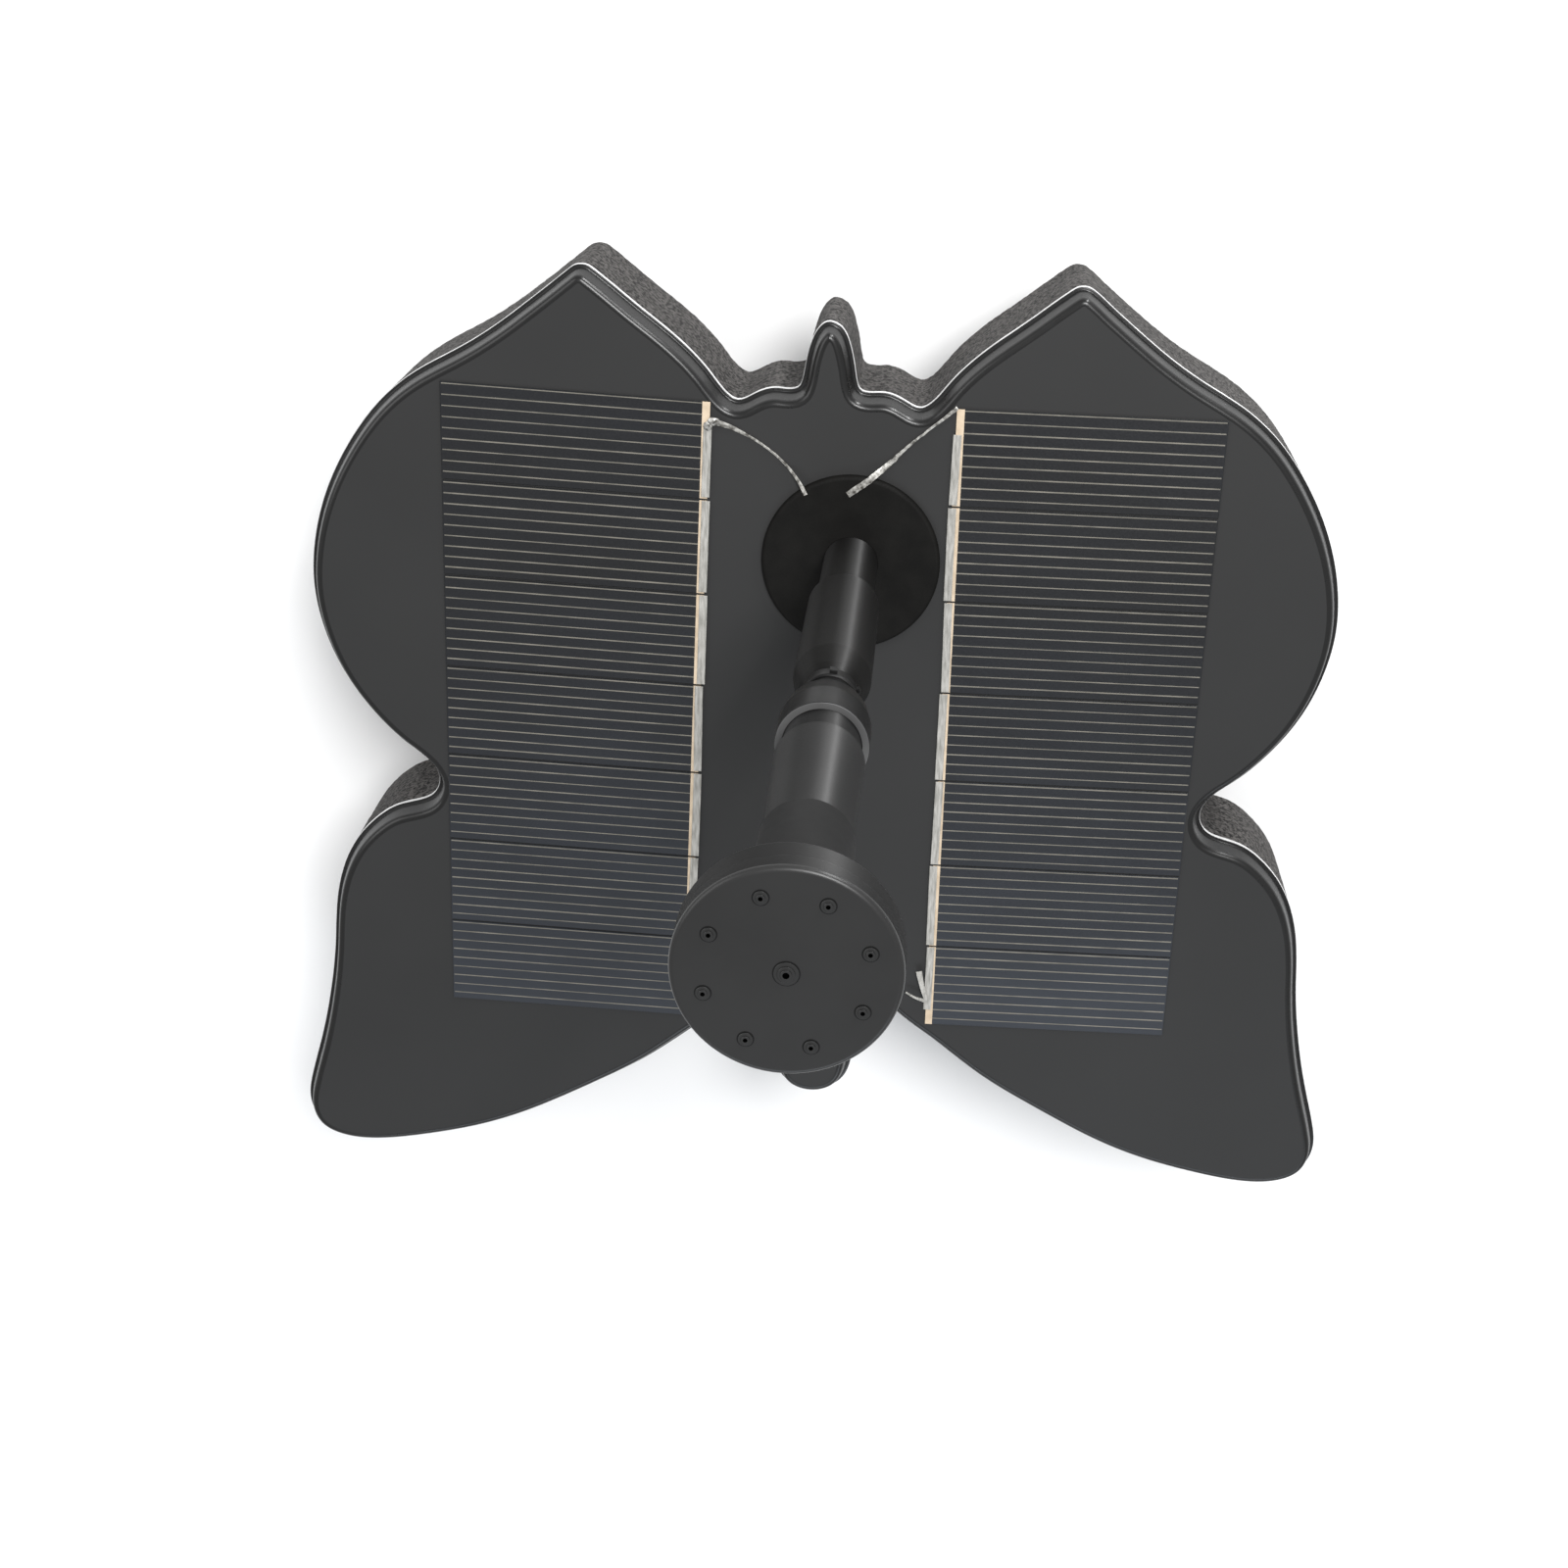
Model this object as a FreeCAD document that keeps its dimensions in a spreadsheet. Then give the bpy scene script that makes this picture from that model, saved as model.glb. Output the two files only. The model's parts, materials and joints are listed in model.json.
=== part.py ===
import FreeCAD, Part
import math
import os
import re

import Sketcher
from FreeCAD import Placement, Rotation, Vector

# Floating solar fountain pump: a butterfly-shaped solar float with a small submersible
# pump hung beneath it and a riser with a spray head standing on it.
# Frame: +X to the butterfly's right wing, +Y towards its head, +Z up along the riser.
# The origin is on the surface the pump stands on, under the middle of the butterfly.
# Lengths are in millimetres.

DIMENSIONS = {
    # float and solar panel
    "base_rise": 26.0,
    "float_thick": 23.0,
    "tray_thick": 5.0,
    "lip_thick": 0.9,
    "lip_width": 0.7,
    "tray_round": 1.0,
    "board_thick": 1.6,
    "board_half_wide": 73.0,
    "board_low": -50.0,
    "board_high": 68.0,
    # solar cells
    "cell_wide": 50.5,
    "cell_tall": 18.8,
    "cell_pitch": 19.16,
    "cell_thick": 0.35,
    "busbar_wide": 1.5,
    "array_mid_x": 49.6,
    "array_mid_y": 7.7,
    "left_array_turn": -1.8,
    "jumper_thick": 0.25,
    # hub, spigot and hose connector
    "hub_x": 5.2,
    "hub_y": 43.6,
    "hub_radius": 17.4,
    "hub_thick": 1.4,
    "spigot_radius": 5.3,
    "spigot_bore": 3.5,
    "spigot_top": 50.0,
    "connector_low": 27.0,
    "connector_high": 71.0,
    "connector_radius": 6.6,
    # riser
    "collar_radius": 7.5,
    "collar_high": 93.3,
    "pipe_radius": 6.25,
    "pipe_step": 100.0,
    "plug_radius": 5.25,
    "plug_high": 123.0,
    "sleeve_low_radius": 7.1,
    "sleeve_high_radius": 6.4,
    "sleeve_high": 128.0,
    "neck_high": 146.0,
    "water_bore": 4.0,
    # spray head
    "head_radius": 14.95,
    "head_back": 159.6,
    "head_seam": 163.4,
    "head_face": 166.7,
    "nozzle_ring": 11.0,
    "jet_radius": 0.35,
    # pump
    "shaft_z": 22.0,
    "shaft_radius": 1.0,
    "housing_half": 20.0,
    "housing_back": -4.0,
    "volute_wide": 9.8,
    "volute_radius": 12.5,
    "can_radius": 10.0,
    "can_bore": 9.0,
    "motor_bore": 17.6,
    "magnet_radius": 8.5,
    "magnet_bore": 4.0,
    "magnet_start": 9.0,
    "magnet_long": 23.0,
    "shaft_start": 4.6,
    "shaft_long": 45.6,
    "bush_radius": 2.4,
    "bush_long": 2.4,
    "disc_start": 30.6,
    "disc_thick": 1.2,
    "blade_thick": 1.1,
    "blade_end": 36.6,
    "stack_start": 8.6,
    "stack_long": 22.0,
    "stator_bore": 14.6,
    "tooth_wide": 5.0,
    "coil_wide": 9.0,
    "coil_thick": 2.7,
    "coil_overhang": 2.5,
    "eye_radius": 6.2,
    "lug_thick": 3.0,
    "lug_round": 3.6,
    "screw_radius": 1.5,
    "screw_head": 2.8,
    "screw_head_tall": 1.8,
    "cover_thick": 2.8,
    "boss_radius": 6.5,
    "boss_top": 48.0,
    # plate and strainer under the float
    "plate_thick": 2.5,
    "plate_half_wide": 42.0,
    "plate_low": -42.0,
    "plate_high": 60.0,
    "strainer_half": 30.0,
    "strainer_low": -34.0,
    "strainer_high": 58.0,
    "strainer_wall": 2.0,
    "slot_wide": 2.2,
    "slot_pitch": 5.0,
    "running_gap": 0.05,
}
NOZZLES = 8
CELLS = 7
BLADES = 6
POLES = 4

FACE = "(base_rise + float_thick + tray_thick)"
TRAY_LOW = "(base_rise + float_thick)"
PLATE_LOW = "(base_rise - plate_thick)"
VOLUTE_BACK = "(hub_y - volute_wide / 2)"
VOLUTE_FRONT = "(hub_y + volute_wide / 2)"
HOUSING_LOW = "(shaft_z - housing_half + 1.5)"
HOUSING_HIGH = "(shaft_z + housing_half - 1.5)"

# Right half of the butterfly, from the tip of the head clockwise to the tip of the tail.
HALF_OUTLINE = [
    (0.0, 89.0), (2.2, 87.9), (3.7, 85.0), (4.6, 81.4), (5.2, 78.2), (5.9, 76.5),
    (7.4, 76.0), (10.2, 76.1), (12.6, 75.6), (15.2, 74.3), (17.5, 73.5), (19.4, 74.5),
    (22.4, 78.0), (29.5, 85.1), (37.5, 91.2), (42.6, 95.2), (44.5, 96.6), (45.6, 97.3),
    (46.8, 97.5), (48.0, 97.3), (49.1, 96.6), (51.2, 94.9), (56.0, 91.1), (62.5, 86.1),
    (70.7, 80.8), (79.0, 76.1),
    (85.8, 70.6), (92.2, 62.6), (97.9, 52.0), (101.2, 40.8), (101.9, 32.6), (100.6, 23.4),
    (97.1, 14.0), (91.2, 5.2), (84.9, -1.1), (80.8, -4.6), (79.0, -8.5), (80.5, -12.1),
    (84.0, -13.8), (88.3, -15.2), (92.8, -18.3), (97.0, -23.0), (100.5, -29.8),
    (102.6, -38.0), (103.8, -48.6), (105.4, -58.8), (108.3, -71.3), (111.5, -82.3),
    (112.4, -88.5), (110.2, -94.2), (104.8, -97.2), (96.8, -97.8), (86.0, -96.1),
    (74.0, -93.0), (62.0, -88.2), (49.3, -81.3), (35.6, -72.8), (24.4, -63.9),
    (15.6, -56.6), (12.2, -54.0), (9.7, -54.7), (8.8, -58.0), (8.6, -64.0), (8.6, -70.6),
    (6.2, -77.0), (0.0, -79.5),
]
FLOAT_SCREWS = [(-36.0, -36.0), (36.0, -36.0), (-36.0, 54.0), (36.0, 54.0)]
LUG_SCREWS = [(-24.0, 4.0), (24.0, 4.0), (-24.0, 32.0), (24.0, 32.0)]
LEAD_AT = (-12.0, 0.7)

doc = FreeCAD.newDocument("fountain_pump")
sheet = doc.addObject("Spreadsheet::Sheet", "Dims")
for row, (alias, number) in enumerate(DIMENSIONS.items(), 1):
    sheet.set(f"A{row}", alias.replace("_", " "))
    sheet.set(f"B{row}", str(number))
    sheet.setAlias(f"B{row}", alias)
doc.recompute()
nodes = []


# ---- helpers ---------------------------------------------------------------------------

def cells_of(expression):
    """The expression with every dimension's name turned into its spreadsheet cell."""
    return re.sub(r"[a-z][a-z_]+", lambda word: "Dims." + word.group(0), str(expression))


def value(expression):
    """The number that an expression of dimensions comes to."""
    return float(sheet.evalExpression(cells_of(expression)))


def bind(item, **expressions):
    """Bind properties of an object to the spreadsheet; two underscores stand for a dot."""
    for name, expression in expressions.items():
        item.setExpression(name.replace("__", "."), cells_of(expression))


def place(item, x, y, z):
    bind(item, Placement__Base__x=x, Placement__Base__y=y, Placement__Base__z=z)
    return item


def node(label, item):
    item.Label = label
    nodes.append(item)
    return item


def block(name, low, high):
    """A box between two corners whose coordinates are expressions."""
    item = doc.addObject("Part::Box", name)
    sizes = [f"({top}) - ({bottom})" for bottom, top in zip(low, high)]
    bind(item, Length=sizes[0], Width=sizes[1], Height=sizes[2])
    return place(item, *low)


def rod(name, start, radius, length, along="z"):
    """A cylinder from a start point, along +Z or along +Y."""
    item = doc.addObject("Part::Cylinder", name)
    if along == "y":
        item.Placement = Placement(Vector(), Rotation(Vector(1, 0, 0), -90))
    bind(item, Radius=radius, Height=length)
    return place(item, *start)


def join(name, items):
    item = doc.addObject("Part::MultiFuse", name)
    item.Shapes = items
    return item


def group(name, items):
    item = doc.addObject("Part::Compound", name)
    item.Links = items
    return item


def cut(name, base, tools):
    item = doc.addObject("Part::Cut", name)
    item.Base = base
    item.Tool = tools[0] if len(tools) == 1 else join(name + "_tools", tools)
    return item


def on_shaft(item, start):
    """Turn a piece built along +Z so that it lies on the pump's shaft, from start along +Y."""
    item.Placement = Placement(Vector(), Rotation(Vector(1, 0, 0), -90))
    return place(item, 0, start, "shaft_z")


def on_riser(item):
    return place(item, "hub_x", "hub_y", FACE)


def plane_of(body, role):
    return next(p for p in body.Origin.OriginFeatures if p.Role == role)


def turned(name, profile, rounds=()):
    """A body turned about Z from a closed profile of (radius, height) expressions.

    rounds holds (radius, height, fillet radius) for the circular edges to round.
    """
    body = doc.addObject("PartDesign::Body", name)
    sketch = body.newObject("Sketcher::SketchObject", name + "_profile")
    sketch.AttachmentSupport = [(plane_of(body, "XZ_Plane"), "")]
    sketch.MapMode = "FlatFace"
    points = [Vector(value(r), value(h), 0) for r, h in profile]
    for index, point in enumerate(points):
        sketch.addGeometry(Part.LineSegment(point, points[(index + 1) % len(points)]), False)
    for index in range(len(points)):
        following = (index + 1) % len(points)
        sketch.addConstraint(Sketcher.Constraint("Coincident", index, 2, following, 1))
    for index, (corner, point) in enumerate(zip(profile, points)):
        for kind, axis, size, expression in (
                ("DistanceX", -2, point.x, corner[0]), ("DistanceY", -1, point.y, corner[1])):
            if abs(size) < 1e-9:
                sketch.addConstraint(Sketcher.Constraint("PointOnObject", index, 1, axis))
            else:
                rule = sketch.addConstraint(Sketcher.Constraint(kind, -1, 1, index, 1, size))
                sketch.setExpression(f"Constraints[{rule}]", cells_of(expression))
    turn = body.newObject("PartDesign::Revolution", name + "_turn")
    turn.Profile = sketch
    turn.ReferenceAxis = (sketch, ["V_Axis"])
    turn.Angle = 360
    doc.recompute()
    for number, (radius, height, fillet) in enumerate(rounds):
        round_circle(body, f"{name}_round{number}", value(radius), value(height), fillet)
    return body


def round_circle(body, name, radius, height, fillet):
    """Fillet the circular edge of a turned body that has this radius at this height."""
    base = body.Tip
    names = [
        f"Edge{i + 1}" for i, edge in enumerate(base.Shape.Edges)
        if isinstance(edge.Curve, Part.Circle) and abs(edge.Curve.Radius - radius) < 1e-3
        and abs(edge.Curve.Center.z - height) < 1e-3
    ]
    rounding = body.newObject("PartDesign::Fillet", name)
    rounding.Base = (base, names)
    bind(rounding, Radius=fillet)
    doc.recompute()


def ring(name, inner, outer, thick):
    return turned(name, [(inner, 0), (outer, 0), (outer, thick), (inner, thick)])


# ---- the butterfly ----------------------------------------------------------------------

def butterfly(inset):
    """The closed outline as one smooth curve, moved inwards by inset."""
    mirrored = [(-x, y) for x, y in reversed(HALF_OUTLINE[1:-1])]
    points = [Vector(x, y, 0) for x, y in HALF_OUTLINE + mirrored]
    curve = Part.BSplineCurve()
    curve.interpolate(Points=points, PeriodicFlag=True)
    if inset:
        inner = []
        for point in points:
            forward = curve.tangent(curve.parameter(point))[0]
            inner.append(point + Vector(forward.y, -forward.x, 0) * inset)
        curve = Part.BSplineCurve()
        curve.interpolate(Points=inner, PeriodicFlag=True)
    return Part.Wire([curve.toShape()])


def slab(inset, low, high):
    """The butterfly as a plate between two heights."""
    plate = Part.Face(butterfly(inset)).extrude(Vector(0, 0, high - low))
    plate.translate(Vector(0, 0, low))
    return plate


def upright(x, y, radius, low, high):
    return Part.makeCylinder(radius, high - low, Vector(x, y, low))


def cuboid(low, high):
    size = [top - bottom for bottom, top in zip(low, high)]
    return Part.makeBox(size[0], size[1], size[2], Vector(*low))


def made(label, shape):
    """A sub-part whose shape comes from Part's own functions."""
    item = doc.addObject("Part::Feature", label)
    item.Shape = shape
    return node(label, item)


hub = (value("hub_x"), value("hub_y"))
face_z = value(FACE)
tray_low = value(TRAY_LOW)
float_low = value("base_rise")
plate_low = value(PLATE_LOW)
board_top = tray_low + value("board_thick") + 0.1
gap = value("running_gap")
post_radius = 4.0
post_low = tray_low - 6.0
pilot_radius = 1.55
lead_radius = 1.5
gland_radius = 3.2
tab_half = 5.0
tab_reach = 3.0


def panel_tray():
    """Moulded tray: lip, rounded plate, recess for the circuit board and screw posts."""
    body = slab(value("lip_width"), tray_low, face_z)
    rim = [
        edge for edge in body.Edges
        if edge.BoundBox.ZMin > face_z - 0.01 and edge.BoundBox.ZMax < face_z + 0.01
    ]
    body = body.makeFillet(value("tray_round"), rim)
    tray = body.fuse(slab(0, tray_low, tray_low + value("lip_thick")))
    half = value("board_half_wide") + 0.3
    low = value("board_low") - 0.3
    high = value("board_high") + 0.3
    tray = tray.cut(cuboid((-half, low, tray_low - 1), (half, high, board_top)))
    posts = [upright(x, y, post_radius, post_low, board_top + 0.5) for x, y in FLOAT_SCREWS]
    tray = tray.fuse(posts)
    pilots = [upright(x, y, pilot_radius, post_low - 1, board_top + 1) for x, y in FLOAT_SCREWS]
    hole = upright(*hub, value("spigot_radius") + 0.3, tray_low - 1, face_z + 1)
    return tray.cut(pilots + [hole]).removeSplitter()


def float_foam():
    """Closed-cell foam with a pocket for the pump, wells for the posts and the spigot."""
    foam = slab(0, float_low, tray_low)
    pocket_top = value(HOUSING_HIGH) + 1.5
    half = value("housing_half") + 1.0
    pocket = cuboid((-half, value("housing_back") - 4.0, float_low - 1),
                    (half, value(VOLUTE_FRONT + " + cover_thick") + 2.0, pocket_top))
    wells = [upright(x, y, post_radius + 0.3, post_low - 0.5, tray_low + 1)
             for x, y in FLOAT_SCREWS]
    holes = [upright(x, y, 1.8, float_low - 1, post_low) for x, y in FLOAT_SCREWS]
    outlet = upright(*hub, value("boss_radius") + 0.5, pocket_top - 1, tray_low + 1)
    lead = upright(*LEAD_AT, gland_radius + 0.4, pocket_top - 1, tray_low + 1)
    side = value("strainer_half") - value("strainer_wall")
    tabs = [cuboid((side * s - 3.5, 12 - tab_half - 1, float_low - 1),
                   (side * s + 3.5, 12 + tab_half + 1, float_low + tab_reach + 1))
            for s in (-1, 1)]
    return foam.cut([pocket, outlet, lead] + wells + holes + tabs)


def circuit_board():
    """Board in the tray's underside that carries the cells' joints and the pump's lead."""
    half = value("board_half_wide")
    top = tray_low + value("board_thick")
    board = cuboid((-half, value("board_low"), tray_low), (half, value("board_high"), top))
    holes = [upright(x, y, post_radius + 0.3, tray_low - 1, top + 1) for x, y in FLOAT_SCREWS]
    hole = upright(*hub, value("boss_radius"), tray_low - 1, top + 1)
    return board.cut(holes + [hole])


made("panel_tray", panel_tray())
made("float_foam", float_foam())
made("circuit_board", circuit_board())


# ---- solar cells ------------------------------------------------------------------------

def solar_array(side, sign):
    """Seven cells in a column with a busbar along the inner edge, about the array's middle."""
    cells = []
    bars = []
    inner = -sign
    for index in range(CELLS):
        low = f"(({index} - {CELLS} / 2) * cell_pitch + (cell_pitch - cell_tall) / 2)"
        middle = f"({sign} * busbar_wide / 2)"
        cells.append(block(f"cell_{side}{index}",
                           (f"{middle} - cell_wide / 2", low, 0),
                           (f"{middle} + cell_wide / 2", f"{low} + cell_tall", "cell_thick")))
        edge = f"({inner} * cell_wide / 2)"
        bars.append(block(f"bar_{side}{index}",
                          (f"{edge} - busbar_wide / 2 + {inner} * 0.02", low, 0),
                          (f"{edge} + busbar_wide / 2 + {inner} * 0.02",
                           f"{low} + cell_tall", "cell_thick - 0.05")))
    turn = value("left_array_turn") if side == "left" else 0.0
    for label, items in ((f"cells_{side}", cells), (f"busbar_{side}", bars)):
        column = node(label, group(label, items))
        column.Placement = Placement(Vector(), Rotation(Vector(0, 0, 1), turn))
        place(column, f"{sign} * array_mid_x", "array_mid_y", FACE)


def jumper(side, start, middle, end, half_width):
    """A flat ribbon on the tray that follows an arc from the busbar to the hub."""
    circle = Part.Arc(Vector(*start), Vector(*middle), Vector(*end)).toShape().Curve
    centre = circle.Center
    sides = []
    for offset in (-half_width, half_width):
        points = [centre + (Vector(*p) - centre) * (1 + offset / circle.Radius)
                  for p in (start, middle, end)]
        sides.append(Part.Arc(*points))
    ends = [Part.LineSegment(sides[0].StartPoint, sides[1].StartPoint),
            Part.LineSegment(sides[0].EndPoint, sides[1].EndPoint)]
    edges = [curve.toShape() for curve in sides + ends]
    face = Part.Face(Part.Wire(Part.__sortEdges__(edges)))
    ribbon = face.extrude(Vector(0, 0, value("jumper_thick")))
    ribbon.translate(Vector(0, 0, face_z))
    made(f"jumper_{side}", ribbon)


solar_array("left", -1)
solar_array("right", 1)
jumper("left", (-21.4, 70.2, 0), (-11.5, 65.7, 0), (-4.6, 58.6, 0), 0.4)
jumper("right", (22.9, 73.6, 0), (14.6, 66.6, 0), (7.2, 61.4, 0), 0.8)


# ---- hub, spigot, connector and riser: heights above the panel's face ---------------------

bore = "(spigot_radius + running_gap)"
hub_flange = turned("hub_flange", [
    (bore, 0), ("hub_radius", 0), ("hub_radius", "hub_thick"), (bore, "hub_thick"),
], [("hub_radius", "hub_thick", 0.8)])
node("hub_flange", on_riser(hub_flange))

spigot_foot = "(boss_top - 6.9)"
spigot_length = f"({FACE} + spigot_top - {spigot_foot})"
spigot = turned("outlet_spigot", [
    ("spigot_bore", 0), ("spigot_radius", 0), ("spigot_radius", spigot_length),
    ("spigot_bore", spigot_length),
], [("spigot_radius", spigot_length, 0.6)])
node("outlet_spigot", place(spigot, "hub_x", "hub_y", spigot_foot))

tail_bore = 3.55
connector = turned("hose_connector", [
    (bore, "connector_low"), ("connector_radius", "connector_low"),
    ("connector_radius", "connector_high - 7"), (5.1, "connector_high"),
    (tail_bore, "connector_high"), (tail_bore, "spigot_top + 0.5"),
    (bore, "spigot_top + 0.5"),
], [("connector_radius", "connector_high - 7", 4.5), ("connector_radius", "connector_low", 0.5),
    (5.1, "connector_high", 0.5)])
node("hose_connector", on_riser(connector))

collar_bore = "(pipe_radius + running_gap)"
collar = turned("riser_collar", [
    (2.6, "connector_high - 14"), (3.5, "connector_high - 14"), (3.5, "connector_high + 0.1"),
    (4.8, "connector_high + 0.1"), (4.8, "connector_high + 3"), (4.3, "connector_high + 3"),
    (4.3, "connector_high + 4.5"), (6.9, "connector_high + 11"),
    ("collar_radius", "collar_high - 7"), ("collar_radius", "collar_high"),
    (collar_bore, "collar_high"), (collar_bore, "collar_high - 12"),
    (2.6, "collar_high - 12"),
], [("collar_radius", "collar_high", 0.35)])
node("riser_collar", on_riser(collar))

pipe = turned("inner_pipe", [
    ("water_bore", "collar_high - 11.9"), ("pipe_radius", "collar_high - 11.9"),
    ("pipe_radius", "pipe_step"), ("plug_radius", "pipe_step"), ("plug_radius", "plug_high"),
    ("water_bore", "plug_high"),
], [("pipe_radius", "pipe_step", 0.3)])
node("inner_pipe", on_riser(pipe))

sleeve_low = "(pipe_step + 0.1)"
sleeve_bore = "(plug_radius + running_gap)"
sleeve = turned("riser_sleeve", [
    (sleeve_bore, sleeve_low), ("sleeve_low_radius", sleeve_low),
    ("sleeve_high_radius", "sleeve_high"), (5.2, "sleeve_high"), (5.2, "neck_high"),
    ("water_bore", "neck_high"), ("water_bore", "plug_high + 2"),
    (sleeve_bore, "plug_high + 2"),
], [("sleeve_low_radius", sleeve_low, 0.3)])
node("riser_sleeve", on_riser(sleeve))


# ---- spray head -------------------------------------------------------------------------

neck_bore = "(5.2 + running_gap)"
head_base = turned("spray_head_base", [
    (neck_bore, "sleeve_high + 0.1"), (6.9, "sleeve_high + 0.1"), (7.4, "head_back - 8"),
    ("head_radius", "head_back"), ("head_radius", "head_seam"),
    ("head_radius - 1.4", "head_seam"), ("head_radius - 1.4", "head_back + 1"),
    ("water_bore", "head_back - 3"), ("water_bore", "neck_high + 0.2"),
    (neck_bore, "neck_high + 0.2"),
], [(6.9, "sleeve_high + 0.1", 0.3), ("head_radius", "head_back", 0.6)])
node("spray_head_base", on_riser(head_base))

plate_under = "(head_face - 1.8)"
lip_outer = "(head_radius - 1.45)"
face_disc = turned("head_disc", [
    (0, plate_under), (12.2, plate_under), (12.2, "head_seam - 1.6"),
    (lip_outer, "head_seam - 1.6"), (lip_outer, "head_seam + 0.02"),
    ("head_radius", "head_seam + 0.02"), ("head_radius", "head_face"), (0, "head_face"),
], [("head_radius", "head_face", 1.3)])
on_riser(face_disc)
steps = []
jets = []
spots = [(0.0, 0.0, ((1.6, 0.4), (1.15, 0.8), (0.7, 1.15)))]
for number in range(NOZZLES):
    angle = math.radians(107.7 - number * 360.0 / NOZZLES)
    spots.append((math.cos(angle), math.sin(angle), ((0.95, 0.3), (0.62, 0.6))))
for number, (across, along, tiers) in enumerate(spots):
    x = f"hub_x + nozzle_ring * {across:.6f}"
    y = f"hub_y + nozzle_ring * {along:.6f}"
    for tier, (radius, rise) in enumerate(tiers):
        steps.append(rod(f"tier{number}_{tier}", (x, y, f"{FACE} + head_face - 0.5"),
                         radius, rise + 0.5))
    jets.append(rod(f"jet{number}", (x, y, f"{FACE} + {plate_under} - 1"),
                    "jet_radius", "5"))
face_plate = join("face_with_tiers", [face_disc] + steps)
node("spray_head_face", cut("spray_head_face", face_plate, jets))

seal = doc.addObject("Part::Torus", "head_seal")
bind(seal, Radius1="head_radius - 2.2", Radius2="0.5")
node("head_seal", place(seal, "hub_x", "hub_y", f"{FACE} + head_seam - 2.3"))


# ---- pump: pieces on the shaft, each built along it --------------------------------------

magnet = ring("rotor_magnet", "magnet_bore", "magnet_radius", "magnet_long")
node("rotor_magnet", on_shaft(magnet, "magnet_start"))

shaft = turned("rotor_shaft", [(0, 0), ("shaft_radius", 0), ("shaft_radius", "shaft_long"),
                               (0, "shaft_long")])
node("rotor_shaft", on_shaft(shaft, "shaft_start"))

bush_bore = "(shaft_radius + running_gap)"
for label, start in (("rear_bush", "shaft_start"), ("front_bush", VOLUTE_FRONT + " - 0.6")):
    bush = ring(label, bush_bore, "bush_radius", "bush_long")
    node(label, on_shaft(bush, start))

seal_ring = ring("cover_seal", 13.3, 14.6, 0.8)
node("cover_seal", on_shaft(seal_ring, VOLUTE_FRONT + " - 0.8"))

board_ring = ring("driver_board", "can_radius + 0.3", "motor_bore - 0.6", 1.4)
node("driver_board", on_shaft(board_ring, "2.7"))

resin = turned("resin_fill", [(0, 0), ("motor_bore - 0.05", 0), ("motor_bore - 0.05", 3), (0, 3)])
node("resin_fill", on_shaft(resin, "housing_back"))


def impeller():
    """Hub tube through the magnet, a back disc and straight swept-back blades."""
    tip = "(volute_radius - 1.6)"
    root = 2.6
    sweep = 1.6
    blade_low = value("disc_start + disc_thick - 0.2")
    hub_tube = ring("impeller_hub", bush_bore, "magnet_bore - 0.02", 38)
    disc = rod("impeller_disc", (0, 0, "disc_start"), tip, "disc_thick")
    blades = []
    for number in range(BLADES):
        blade = doc.addObject("Part::Box", f"blade{number}")
        bind(blade, Length=f"{tip} - 0.1 - {root}", Width="blade_thick",
             Height=f"blade_end - {blade_low}")
        turn = Rotation(Vector(0, 0, 1), number * 360.0 / BLADES)
        blade.Placement = Placement(turn.multVec(Vector(root, sweep, blade_low)), turn)
        blades.append(blade)
    solid = join("impeller_solid", [hub_tube, disc] + blades)
    hole = rod("impeller_hole", (0, 0, -1), bush_bore, 50)
    return cut("impeller", solid, [hole])


node("impeller", on_shaft(impeller(), "stack_start"))


def stator():
    """Ring of laminations with inward teeth, and one coil round each tooth."""
    back = ring("stator_ring", "stator_bore", "motor_bore - 0.2", "stack_long")
    teeth = []
    coils = []
    for number in range(POLES):
        turn = Rotation(Vector(0, 0, 1), (number + 0.5) * 360.0 / POLES)
        tooth = doc.addObject("Part::Box", f"tooth{number}")
        bind(tooth, Length="stator_bore + 0.3 - can_radius", Width="tooth_wide",
             Height="stack_long")
        start = Vector(value("can_radius + 0.3"), value("0 - tooth_wide / 2"), 0)
        tooth.Placement = Placement(turn.multVec(start), turn)
        teeth.append(tooth)
        outer = doc.addObject("Part::Box", f"coil_outer{number}")
        bind(outer, Length="coil_thick", Width="coil_wide",
             Height="stack_long + 2 * coil_overhang")
        start = Vector(value("can_radius + 0.9"), value("0 - coil_wide / 2"),
                       value("0 - coil_overhang"))
        outer.Placement = Placement(turn.multVec(start), turn)
        inner = doc.addObject("Part::Box", f"coil_inner{number}")
        bind(inner, Length=6, Width="tooth_wide + 0.2", Height="stack_long + 0.2")
        start = Vector(value("can_radius - 0.5"), value("0 - tooth_wide / 2 - 0.1"), -0.1)
        inner.Placement = Placement(turn.multVec(start), turn)
        coils.append(cut(f"coil{number}", outer, [inner]))
    return join("stator_core", [back] + teeth), group("stator_coils", coils)


core, coils = stator()
node("stator_core", on_shaft(core, "stack_start"))
node("stator_coils", on_shaft(coils, "stack_start"))


# ---- pump housing and cover ---------------------------------------------------------------

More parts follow.
